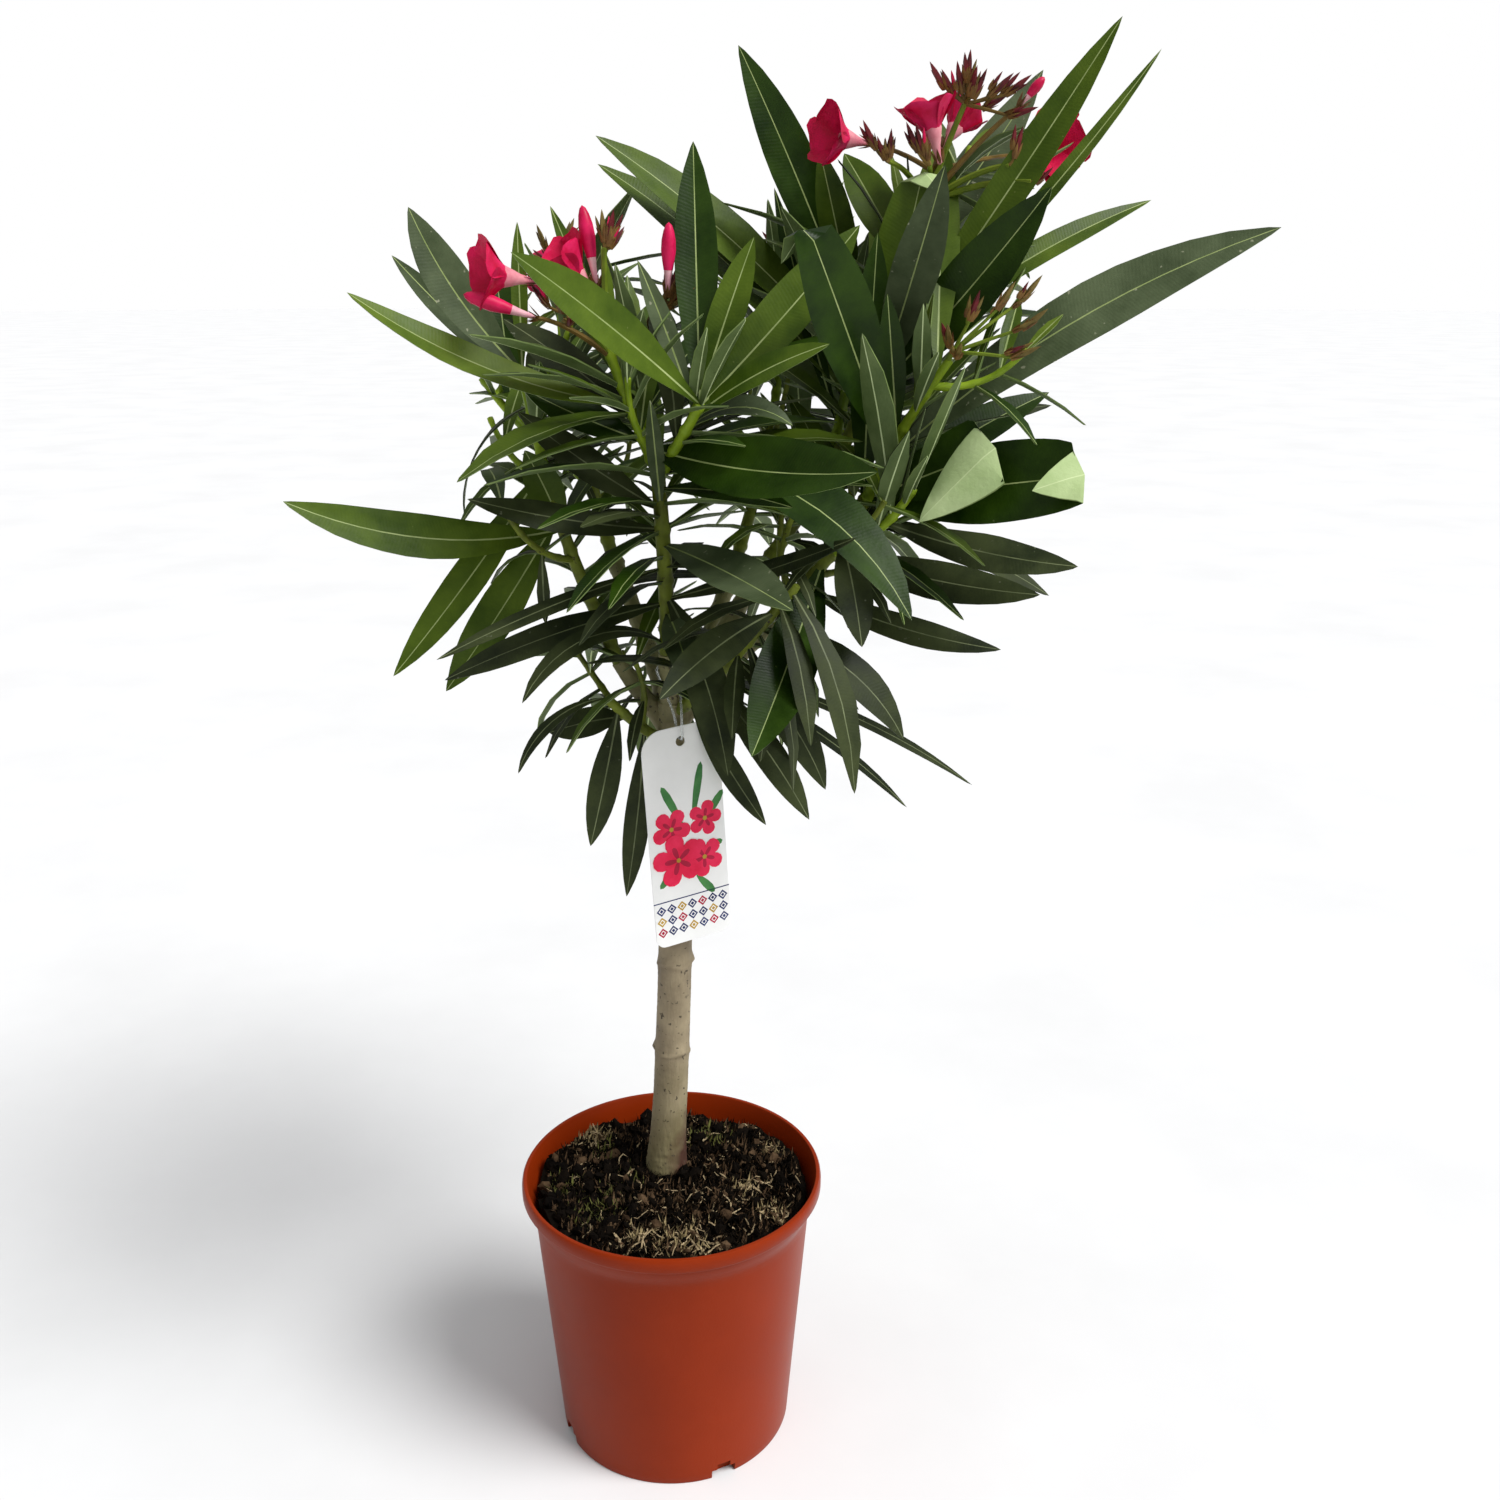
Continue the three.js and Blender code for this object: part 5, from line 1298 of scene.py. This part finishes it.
FLOWER_FINISHES = [
    finish("petal", "b40034", "d60a4e", 70, (0.5, 0.65), (300.0, 1.0, 0.0004)),
    finish("petal_back", "b80838", "d82460", 70, (0.5, 0.65), (300.0, 1.0, 0.0004)),
    finish("flower_tube", "c8687a", "e09aa0", 90, (0.5, 0.6)),
]
POT_FINISH = finish("pot_plastic", "802706", "8b2c08", 9, (0.3, 0.4), (900.0, 1.0, 0.00008),
                    ("a85433", 60.0, 0.05), 0.1)
BARK = bark_finish()
SOIL_FINISHES = [
    finish("peat_dark", "050302", "130e09", 90, (0.85, 0.98), (400.0, 1.0, 0.002), None, 0.05),
    finish("peat_brown", "2b1f14", "5a4734", 90, (0.85, 0.98), (500.0, 1.0, 0.001), None, 0.05),
    finish("straw", "746248", "b3a07c", 130, (0.7, 0.85)),
    finish("moss", "22260e", "74743a", 45, (0.8, 0.95)),
    finish("dry_moss", "54472e", "a8966c", 160, (0.8, 0.95)),
]
CARD_FINISH = finish("card", "eaeae8", "f5f5f3", 20, (0.3, 0.4))
INK_FINISHES = [
    finish("ink_crimson", "d80a3c", "ee2a58", 60, (0.3, 0.4)),
    finish("ink_dark_crimson", "9c0830", "b81440", 60, (0.3, 0.4)),
    finish("ink_green", "2f6a35", "4f8f4b", 60, (0.3, 0.4)),
    finish("ink_blue", "1c2450", "2c3768", 60, (0.3, 0.4)),
    finish("ink_ochre", "a88428", "bd9a3c", 60, (0.3, 0.4)),
    finish("ink_paper", "eaeae8", "f5f5f3", 60, (0.3, 0.4)),
]


# Foliage, twigs and blossom, one piece of each kind for each mass

def make_crown():
    leaves, curves, mass_of = grow()
    more, twigs = grow_finer(leaves, curves)
    for mass, (_, _, shoots) in MASSES.items():
        node = f"leaves_{mass}"
        foliage, wood = Pile(), Pile()
        for leaf in leaves + more:
            if leaf.mass == mass:
                add_leaf(foliage, leaf)
        for shoot in shoots.values():
            add_twig(wood, shoot, 12, 70)
        for _, shoot in (pair for pair in twigs if pair[0] == mass):
            add_twig(wood, shoot, 8, 30)
        add_piece(foliage.mesh(f"foliage_{mass}", LEAF_FINISHES), "foliage", node)
        add_piece(wood.mesh(f"twigs_{mass}", TWIG_FINISHES), "green_wood", node)
        make_blossom(mass, curves, mass_of)
    print("leaves by the rule, finer leaves, side twigs:", len(leaves), len(more), len(twigs))


def make_blossom(mass, curves, mass_of):
    buds, flowers = Pile(), Pile()
    for number, (shoot, hub, ripe, tips) in enumerate(HEADS):
        if mass_of[shoot] == mass:
            stalk_to(buds, curves[shoot], hub, STALK_RADII["head"], GREEN_STALK)
            add_head(buds, hub, ripe, tips, Run(RUNS["head"] + number))
    for number, (shoot, foot, tip) in enumerate(SPINDLES):
        if mass_of[shoot] == mass:
            stalk_to(buds, curves[shoot], foot, STALK_RADII["single"], STALK)
            add_spindle(buds, foot, tip, Run(RUNS["spindle"] + number))
    for number, (shoot, heart, look, size, stand) in enumerate(FLOWERS):
        if mass_of[shoot] == mass:
            run = Run(RUNS["flower"] + number)
            add_flower(flowers, buds, curves[shoot], vec(*heart), vec(*look), size, stand, run)
    if buds.count:
        add_piece(buds.mesh(f"buds_{mass}", BUD_FINISHES), "foliage", f"leaves_{mass}")
    if flowers.count:
        add_piece(flowers.mesh(f"blossom_{mass}", FLOWER_FINISHES, 60), "foliage", f"leaves_{mass}")


# Trunk and boughs, with the bark's relief

def make_rod(name, sides, steps):
    """A round bar of unit radius and length along Z, cut into steps."""
    clear_selection()
    bpy.ops.mesh.primitive_cylinder_add(
        vertices=sides, radius=1, depth=1, end_fill_type="TRIFAN", location=(0, 0, 0.5))
    piece = bpy.context.object
    piece.name = name
    settle_place(piece)
    for cuts in steps:
        edit_parts(piece, "EDGE", lambda edge: abs(edge.verts[0].co.z - edge.verts[1].co.z) > 1e-6)
        bpy.ops.mesh.subdivide(number_cuts=cuts)
        bpy.ops.object.mode_set(mode="OBJECT")
    return piece


def bend_rod(piece, curve, radius_at, relief):
    """Bends a rod along a curve, with its radius and the relief of its skin in millimetres."""
    for vertex in piece.data.vertices:
        x, y, t = vertex.co
        t = clamp(t)
        point, along, across, over = curve.frame(t)
        angle = math.atan2(y, x)
        share = min(math.hypot(x, y), 1)
        radius = share * (radius_at(t) + relief(angle, t))
        out = spoke(across, over, angle)
        dome = (1 - share) * radius_at(t) * 0.4 * (t > 0.5)
        vertex.co = Vector((point + out * radius + along * dome) * MM)
    piece.data.update()
    smooth_by_angle(piece, 60)


def scar_relief(angle, height, scars, sharp, tall):
    """Raised rings that fallen leaves left, dipping three times round, with a bud over each dip."""
    relief = 0
    for number, scar in enumerate(scars):
        turn = number * math.pi / 3
        line = scar + 1.1 * math.cos(3 * (angle - turn))
        away = height - line
        relief += tall * math.exp(-(away / sharp) ** 2) + 0.5 * tall * math.exp(-(away / (6 * sharp)) ** 2)
        around = (angle - turn - math.pi / 3) % (2 * math.pi / 3) - math.pi / 3
        bud = (around * 9 / 2.2) ** 2 + ((height - scar - 2.5) / 2.4) ** 2
        relief += 1.6 * tall * math.exp(-bud)
    return relief


def bark_relief(angle, height, radius, scars, sharp, tall):
    place = Vector((math.cos(angle) * radius, math.sin(angle) * radius, height))
    wrinkles = noise.noise(Vector((place.x * 0.55, place.y * 0.55, height * 0.06)))
    pits = noise.noise(place * 0.4)
    return scar_relief(angle, height, scars, sharp, tall) + 0.22 * wrinkles + 0.16 * pits


def make_trunk():
    curve = Curve(TRUNK["route"])
    low, high = TRUNK["route"][0][2], TRUNK["route"][2][2]

    def relief(angle, t):
        height = lerp(low, high, t)
        peel = 0.5 * noise.noise(Vector((math.cos(angle) * 5, math.sin(angle) * 5, height * 0.35)))
        return bark_relief(angle, height, 10, SCAR_HEIGHTS, 1.0, 0.75) + peel * clamp((205 - height) / 25)

    piece = make_rod("trunk_bark", 64, (10, 24))
    bend_rod(piece, curve, trunk_radius, relief)
    piece.data.materials.append(BARK)
    add_piece(piece, "bark", "trunk")


def make_boughs():
    for name, (route, radii) in BOUGHS.items():
        curve = Curve(route)
        length = np.linalg.norm(curve.third - curve.first)
        scars = list(np.arange(16, length, 17))

        def relief(angle, t):
            return bark_relief(angle, t * length, 5, scars, 0.9, 0.55)

        def radius_at(t):
            return lerp(*radii, t) + 2.2 * math.exp(-t * length / 7)

        piece = make_rod(f"bough_{name}_bark", 36, (5, 11))
        bend_rod(piece, curve, radius_at, relief)
        piece.data.materials.append(BARK)
        add_piece(piece, "green_wood", f"bough_{name}")


# Pot

def turned(name, profile, sides):
    """A closed turned piece: a disc is extruded from one radius and height of its profile to the next."""
    radius, height = profile[0]
    clear_selection()
    bpy.ops.mesh.primitive_circle_add(
        vertices=sides, radius=radius * MM, fill_type="NGON", location=(0, 0, height * MM))
    piece = bpy.context.object
    piece.name = name
    edit_parts(piece, "FACE", lambda face: True)
    for next_radius, next_height in profile[1:]:
        rise = (next_height - height) * MM
        bpy.ops.mesh.extrude_region_move(TRANSFORM_OT_translate={"value": (0, 0, rise)})
        grow_by = next_radius / radius
        bpy.ops.transform.resize(value=(grow_by, grow_by, 1))
        radius, height = next_radius, next_height
    bpy.ops.mesh.select_all(action="SELECT")
    bpy.ops.mesh.normals_make_consistent(inside=False)
    bpy.ops.object.mode_set(mode="OBJECT")
    settle_place(piece)
    return piece


def cut_away(piece, cutter):
    """Cuts a piece by another, which is removed."""
    choose(piece)
    modifier = piece.modifiers.new("cut", "BOOLEAN")
    modifier.operation = "DIFFERENCE"
    modifier.solver = "EXACT"
    modifier.object = cutter
    bpy.ops.object.modifier_apply(modifier=modifier.name)
    bpy.data.objects.remove(cutter, do_unlink=True)


def make_pot():
    wall, base = POT["wall"], POT["base"]
    body_top, body_height = POT["body_top"], POT["body_height"]
    foot = [(base - 4, 0), (base - 1.2, 0), (base - 0.3, 0.4), (base, 1.3)]
    body = [(lerp(base, body_top, share), lerp(1.3, body_height, share)) for share in (0.03, 0.5, 0.97, 1)]
    inside = [(90.2, 170), (body_top - wall, body_height - 1), (base - wall, POT["floor"])]
    piece = turned("pot_shell", foot + body + COLLAR + LIP + inside, 128)
    for i in range(NOTCH["count"]):
        angle = math.radians(NOTCH["first"] + i * 360 / NOTCH["count"])
        for wide, high in ((NOTCH["wide"], NOTCH["low"]), (NOTCH["narrow"], NOTCH["high"])):
            clear_selection()
            at = (base * math.cos(angle) * MM, base * math.sin(angle) * MM, 0)
            bpy.ops.mesh.primitive_cube_add(size=1, rotation=(0, 0, angle), location=at)
            cutter = bpy.context.object
            cutter.scale = (NOTCH["depth"] * MM, wide * MM, 2 * high * MM)
            settle_place(cutter)
            cut_away(piece, cutter)
    piece.data.materials.append(POT_FINISH)
    smooth_by_angle(piece, 35)
    add_piece(piece, "pot", "pot")


# Compost

def soil_height(x, y):
    """Height of the compost above the pot's underside, as in the source."""
    foot_x, foot_y = TRUNK["route"][0][:2]
    away = np.hypot(x - foot_x, y - foot_y)
    uneven = smoothstep(away, SOIL["seat"], 2 * SOIL["seat"])
    rough = np.sin(x * 0.11 + 1) * np.cos(y * 0.09) + 0.5 * np.sin(x * 0.23 - y * 0.19)
    edge = (np.hypot(x, y) / SOIL["full"]) ** 6
    swell = SOIL["swell"] * rough - SOIL["front_rise"] * y - SOIL["edge_drop"] * edge
    return SOIL["level"] + uneven * swell


def crumbly_height(x, y):
    """The compost's height with its lumps and holes."""
    lumps = 3.6 * noise.noise(Vector((x * 0.07, y * 0.07, 3.1)))
    lumps += 3.2 * noise.noise(Vector((x * 0.16, y * 0.16, 7.7)))
    lumps += 1.8 * noise.noise(Vector((x * 0.38, y * 0.38, 1.3)))
    return float(soil_height(x, y)) + lumps


def make_soil():
    middle = (SOIL["level"] - SOIL["depth"] / 2) * MM
    clear_selection()
    bpy.ops.mesh.primitive_cylinder_add(
        vertices=SOIL["sides"], radius=SOIL["radius"] * MM, depth=SOIL["depth"] * MM, location=(0, 0, middle))
    piece = bpy.context.object
    piece.name = "compost"
    settle_place(piece)
    edit_parts(piece, "FACE", lambda face: face.normal.z > 0.9)
    for _ in range(SOIL["rings"] - 1):
        bpy.ops.mesh.inset(thickness=SOIL["radius"] / SOIL["rings"] * MM)
    bpy.ops.mesh.poke()
    bpy.ops.object.mode_set(mode="OBJECT")
    for vertex in piece.data.vertices:
        if vertex.co.z > middle:
            vertex.co.z = crumbly_height(vertex.co.x / MM, vertex.co.y / MM) * MM
    piece.data.materials.append(SOIL_FINISHES[0])
    smooth_by_angle(piece, 60)
    add_piece(piece, "soil", "soil")
    scatter_crumbs()


# A crumb of peat: twelve corners, one face to each three that are next to each other
LUMP = np.array([
    (0, -0.53, 0.85), (0, 0.53, 0.85), (0, -0.53, -0.85), (0, 0.53, -0.85),
    (0.85, 0, -0.53), (0.85, 0, 0.53), (-0.85, 0, -0.53), (-0.85, 0, 0.53),
    (-0.53, 0.85, 0), (0.53, 0.85, 0), (-0.53, -0.85, 0), (0.53, -0.85, 0),
])
LUMP_FACES = [
    (0, 5, 1), (0, 1, 7), (0, 7, 10), (0, 10, 11), (0, 11, 5), (1, 5, 9), (1, 9, 8), (1, 8, 7), (2, 3, 4),
    (2, 6, 3), (2, 10, 6), (2, 11, 10), (2, 4, 11), (3, 9, 4), (3, 8, 9), (3, 6, 8), (4, 9, 5), (4, 5, 11),
    (6, 7, 8), (6, 10, 7),
]


def spot_in_pot(random, reach):
    radius = reach * math.sqrt(random.random())
    angle = random.random() * 2 * math.pi
    return radius * math.cos(angle), radius * math.sin(angle)


def clear_of_trunk(x, y, reach):
    foot_x, foot_y = TRUNK["route"][0][:2]
    return math.hypot(x - foot_x, y - foot_y) > TRUNK["foot"] + reach


def patch(x, y, spots):
    """How far a place lies in one of the patches: 1 in the middle, 0 outside."""
    return max(clamp(1 - math.hypot(x - px, y - py) / size) for px, py, size in spots)


# Patches on the compost: x, y and reach in millimetres
DRY_PATCHES = [(8, -72, 26), (46, -14, 15), (60, -40, 14), (-52, 58, 20), (66, 34, 12), (-20, -62, 14)]
MOSS_PATCHES = [(-72, -6, 18), (-44, 34, 14), (-46, -30, 26), (-30, 4, 18), (24, 46, 22)]
LITTER = {"seed": 11, "reach": 84, "crumbs": 2600, "clods": 240, "fibres": 2600, "tufts": 8000}


def scatter_crumbs():
    """Clods and crumbs, dry straw and bits of moss over the compost."""
    random = np.random.default_rng(LITTER["seed"])
    crumbs, straw, moss = Pile(), Pile(), Pile()
    for number in range(LITTER["crumbs"]):
        x, y = spot_in_pot(random, LITTER["reach"] - 2)
        dry = patch(x, y, DRY_PATCHES)
        clod = number < LITTER["clods"] and dry < 0.2
        size = 2.6 + 2.6 * random.random() if clod else 0.7 + 1.8 * random.random() ** 3
        if clear_of_trunk(x, y, size):
            add_crumb(crumbs, random, x, y, size, int(random.random() < 0.16 + 0.7 * dry))
    for _ in range(LITTER["fibres"]):
        x, y = spot_in_pot(random, LITTER["reach"] - 1)
        if random.random() < 0.16 + patch(x, y, DRY_PATCHES) and clear_of_trunk(x, y, 3):
            add_fibre(straw, random, x, y, 3 + 11 * random.random() ** 2, 0.3 + 0.4 * random.random())
    for _ in range(LITTER["tufts"]):
        x, y = spot_in_pot(random, LITTER["reach"] - 1)
        if clear_of_trunk(x, y, 2):
            add_tuft(moss, random, x, y)
    add_piece(crumbs.mesh("compost_crumbs", SOIL_FINISHES[:2], 20), "soil")
    add_piece(straw.mesh("compost_straw", [SOIL_FINISHES[2], SOIL_FINISHES[1]]), "soil")
    add_piece(moss.mesh("compost_moss", [*SOIL_FINISHES[3:], *SOIL_FINISHES[:2]]), "soil")


def add_crumb(pile, random, x, y, size, paint):
    """A lump of peat, turned at random."""
    turn, _ = np.linalg.qr(random.normal(size=(3, 3)))
    if np.linalg.det(turn) < 0:
        turn[:, 0] *= -1
    corners = LUMP * (0.7 + 0.5 * random.random((12, 1))) * (size * np.array([1.3, 0.9, 0.7]))
    at = vec(x, y, crumbly_height(x, y) + 0.3 * size)
    pile.add(corners @ turn.T + at, LUMP_FACES, [paint] * 20)


def add_tuft(pile, random, x, y):
    """A tip of moss, green or dry in its patches, or else a dark shred of peat."""
    green, dry = patch(x, y, MOSS_PATCHES), patch(x, y, DRY_PATCHES)
    foot = vec(x, y, crumbly_height(x, y) - 0.5)
    sideways = vec(random.normal(), random.normal(), 0)
    if random.random() < max(0.8 * green, dry):
        way, paint = unit(1.3 * sideways + vec(0, 0, 0.8)), 0 if green > dry else 1
    else:
        way, paint = unit(sideways + vec(0, 0, 0.7)), 2 + int(random.random() < 0.4)
    length = 3 + 5 * random.random()
    if math.hypot(*(foot + way * length)[:2]) < LITTER["reach"]:
        add_spike(pile, foot, way, length, 1 + 0.8 * random.random(), paint, 0.3)


def add_fibre(pile, random, x, y, length, radius):
    """A bent fibre of straw that lies on the compost."""
    heading = random.random() * 2 * math.pi
    bow = random.normal() * 0.6
    tilt = 0.25 * random.random()
    points = []
    for share in (0, 0.33, 0.66, 1):
        turned_by = heading + bow * share
        px = x + math.cos(turned_by) * length * (share - 0.5)
        py = y + math.sin(turned_by) * length * (share - 0.5)
        if math.hypot(px, py) > LITTER["reach"] or not clear_of_trunk(px, py, 1):
            return
        points.append((px, py, crumbly_height(px, py) + 0.8 + tilt * share * length))
    radii = [radius * 0.8, radius, radius * 0.9, radius * 0.5]
    add_tube(pile, points, radii, 4, 0 if random.random() < 0.7 else 1)


# Label

def make_label():
    width, height, top = LABEL["width"], LABEL["height"], LABEL["hole_below_top"]
    clear_selection()
    middle = (top - height / 2) * MM
    bpy.ops.mesh.primitive_plane_add(size=1, location=(0, middle, 0))
    card = bpy.context.object
    card.name = "label_card"
    card.scale = (width * MM, height * MM, 1)
    settle_place(card)
    for radius, way in ((LABEL["corner_top"], 1), (LABEL["corner_bottom"], -1)):
        edit_parts(card, "VERT", lambda corner: (
            abs(abs(corner.co.x) - width / 2 * MM) < 1e-6
            and (corner.co.y - middle) * way > height * 0.49 * MM))
        bpy.ops.mesh.bevel(offset=radius * MM, segments=8, affect="VERTICES")
        bpy.ops.object.mode_set(mode="OBJECT")
    solidify = card.modifiers.new("thickness", "SOLIDIFY")
    solidify.thickness = LABEL["thick"] * MM
    solidify.offset = 0
    choose(card)
    bpy.ops.object.modifier_apply(modifier=solidify.name)
    clear_selection()
    bpy.ops.mesh.primitive_cylinder_add(vertices=32, radius=LABEL["hole"] * MM, depth=10 * MM)
    cut_away(card, bpy.context.object)
    card.matrix_world = metre_label_matrix()
    settle_place(card)
    card.data.materials.append(CARD_FINISH)
    smooth_by_angle(card, 30)
    add_piece(card, "label", "label")
    print_label()


def metre_label_matrix():
    matrix = label_matrix()
    matrix.translation *= MM
    return matrix


CRIMSON, DARK, GREEN, BLUE, OCHRE, PAPER = range(6)


def add_print(pile, outline, layer, paint):
    """A flat printed shape, a hair thicker with each layer."""
    low = LABEL["thick"] / 2 - 0.05
    high = LABEL["thick"] / 2 + 0.05 + 0.02 * layer
    count = len(outline)
    corners = np.array([(x, y, low) for x, y in outline] + [(x, y, high) for x, y in outline])
    faces = [tuple(reversed(range(count))), tuple(range(count, 2 * count))]
    faces += [(i, (i + 1) % count, count + (i + 1) % count, count + i) for i in range(count)]
    matrix = np.array(label_matrix())
    pile.add(corners @ matrix[:3, :3].T + matrix[:3, 3], faces, [paint] * len(faces))


def petal_outline(x, y, length, width, turn, points=14):
    """A rounded petal that starts at x, y and points the way of its turn."""
    outline = []
    for i in range(points):
        angle = 2 * math.pi * i / points
        along = length * (0.5 - 0.5 * math.cos(angle))
        across = width / 2 * math.sin(angle) * (0.45 + 0.55 * along / length)
        outline.append((x + along * math.cos(turn) - across * math.sin(turn),
                        y + along * math.sin(turn) + across * math.cos(turn)))
    return outline


# Printed leaves: where each starts, the way it points and its length
LEAF_PRINTS = [
    (4, -50, 1.35, 36), (-2, -52, 2.0, 30), (10, -54, 0.9, 24), (6, -70, 0.2, 17), (-4, -72, 3.9, 22),
    (4, -84, -0.9, 18),
]
# Printed blossoms: middle and length of the petals. Below them, a line and a band of diamonds
BLOSSOM_PRINTS = [(12, -50, 11), (-10, -52, 12.5), (10, -74, 12.5), (-7, -72, 16.5)]
LINE_PRINT = {"half": 25, "low": -96.6, "high": -95.9}
BAND_PRINT = {"across": 7, "down": 3, "step_x": 6.8, "step_y": 7, "left": -20.4, "top": -101.5}


def print_label():
    """A generic print: four round blossoms with leaves, over a band of diamonds."""
    pile = Pile()
    for x, y, turn, length in LEAF_PRINTS:
        add_print(pile, petal_outline(x, y, length, 6.5, turn, 12), 0, GREEN)
    for number, (x, y, size) in enumerate(BLOSSOM_PRINTS):
        for i in range(5):
            turn = i * 2 * math.pi / 5 + number
            add_print(pile, petal_outline(x, y, size, size * 0.95, turn), 1 + i + 7 * number, CRIMSON)
            add_print(pile, petal_outline(x, y, size * 0.55, size * 0.25, turn + 0.15), 7 + 7 * number, DARK)
        centre = [(x + 1.4 * math.cos(a), y + 1.4 * math.sin(a)) for a in np.arange(10) * math.pi / 5]
        add_print(pile, centre, 8 + 7 * number, OCHRE)
    half, low, high = LINE_PRINT.values()
    add_print(pile, [(-half, low), (half, low), (half, high), (-half, high)], 0, BLUE)
    for i in range(BAND_PRINT["across"]):
        for row in range(BAND_PRINT["down"]):
            x = BAND_PRINT["left"] + BAND_PRINT["step_x"] * i
            y = BAND_PRINT["top"] - BAND_PRINT["step_y"] * row
            paint = (BLUE, BLUE, OCHRE, BLUE, DARK)[(i + 2 * row) % 5]
            for layer, (size, ink) in enumerate(((3.2, paint), (1.9, PAPER), (1.2, paint))):
                add_print(pile, [(x - size, y), (x, y - size), (x + size, y), (x, y + size)], layer, ink)
    add_piece(pile.mesh("label_print", INK_FINISHES, 20), "label")


def tie_route():
    """The tie's closed line, as in the source: through the label's hole and behind the centre bough."""
    x, y, z = LABEL["at"]
    turn = math.radians(LABEL["turn"])
    normal = vec(-math.sin(turn), math.cos(turn), 0)
    hole = vec(x, y, z + LABEL["hole"] - TIE["radius"] - TIE["clearance"])
    route, radii = BOUGHS["centre"]
    share = (TIE["level"] - route[0][2]) / (route[2][2] - route[0][2])
    bough = Curve(route).point(share)
    around = lerp(*radii, share) + TIE["radius"] + TIE["clearance"]

    def beside(angle, drop):
        x, y, _ = bough + around * spoke(vec(1, 0, 0), vec(0, 1, 0), math.radians(angle))
        return vec(x, y, TIE["level"] - drop)

    loop = [beside(*pair) for pair in ((-25, 5), (12, 2), (50, 0.5), (90, 0), (130, 0.5), (168, 2), (205, 5))]
    front = hole - normal * 2.6 + vec(0, 0, 1.2)
    back = hole + normal * 2.6 + vec(0, 0, 1.2)
    return [hole, front, vec(x + 1, y - 2, z + 16), *loop, vec(x - 4, y + 4, z + 17), back]


def smooth_loop(points, steps):
    """A closed line through points, rounded between them."""
    line = []
    count = len(points)
    for i in range(count):
        a, b, c, d = (points[(i + k) % count] for k in (-1, 0, 1, 2))
        for t in np.arange(steps) / steps:
            line.append(0.5 * (2 * b + (c - a) * t + (2 * a - 5 * b + 4 * c - d) * t ** 2
                               + (3 * b - a - 3 * c + d) * t ** 3))
    return line


def make_tie():
    line = smooth_loop(tie_route(), 8)
    curve = bpy.data.curves.new("label_string", "CURVE")
    curve.dimensions = "3D"
    spline = curve.splines.new("POLY")
    spline.points.add(len(line) - 1)
    for point, place in zip(spline.points, line):
        point.co = (*(place * MM), 1)
    spline.use_cyclic_u = True
    curve.bevel_depth = TIE["radius"] * MM
    curve.bevel_resolution = 3
    choose(put_in_scene("label_string", curve))
    bpy.ops.object.convert(target="MESH")
    piece = bpy.context.object
    piece.data.materials.append(tie_finish())
    smooth_by_angle(piece, 60)
    add_piece(piece, "tie", "label_tie")


# Surroundings

def make_floor():
    clear_selection()
    bpy.ops.mesh.primitive_circle_add(vertices=64, radius=FLOOR_RADIUS, fill_type="NGON", location=(0, 0, 0))
    floor = bpy.context.object
    floor.name = "floor"
    floor.data.materials.append(finish("floor_pale", "dcdcdc", "e2e2e2", 3, (0.8, 0.9)))


def make_light():
    world = bpy.data.worlds.new("studio")
    bpy.context.scene.world = world
    world.use_nodes = True
    tree = world.node_tree
    tree.nodes.clear()
    sky = add_node(tree, "ShaderNodeTexCoord").outputs["Generated"]
    height = add_node(tree, "ShaderNodeSeparateXYZ", Vector=sky)
    strength = map_range(tree, height.outputs["Z"], -0.1, 0.9, SKY["low"], SKY["high"])
    soft = add_node(tree, "ShaderNodeBackground", Color=SKY["colour"], Strength=strength)
    white = add_node(tree, "ShaderNodeBackground", Color=(1.0, 1.0, 1.0, 1.0), Strength=1.0)
    seen = add_node(tree, "ShaderNodeLightPath").outputs["Is Camera Ray"]
    mix = add_node(tree, "ShaderNodeMixShader")
    feed(tree, mix.inputs[0], seen)
    feed(tree, mix.inputs[1], soft.outputs[0])
    feed(tree, mix.inputs[2], white.outputs[0])
    output = add_node(tree, "ShaderNodeOutputWorld")
    feed(tree, output.inputs["Surface"], mix.outputs[0])
    for name, sun in SUNS.items():
        data = bpy.data.lights.new(name, "SUN")
        data.energy = sun["strength"]
        data.angle = math.radians(sun["softness"])
        put_in_scene(name, data).rotation_euler = tuple(math.radians(a) for a in sun["turn"])


def make_camera():
    data = bpy.data.cameras.new("camera")
    data.lens = CAMERA["lens"]
    data.sensor_width = CAMERA["sensor"]
    data.clip_start, data.clip_end = CAMERA["near"], CAMERA["far"]
    camera = put_in_scene("camera", data)
    camera.location = CAMERA["at"]
    camera.rotation_euler = (math.radians(90 - CAMERA["pitch"]), 0, math.radians(-CAMERA["yaw"]))
    bpy.context.scene.camera = camera


make_camera()
make_light()
make_floor()
make_pot()
make_soil()
make_trunk()
make_boughs()
make_crown()
make_label()
make_tie()
bpy.context.scene.view_settings.view_transform = "Standard"
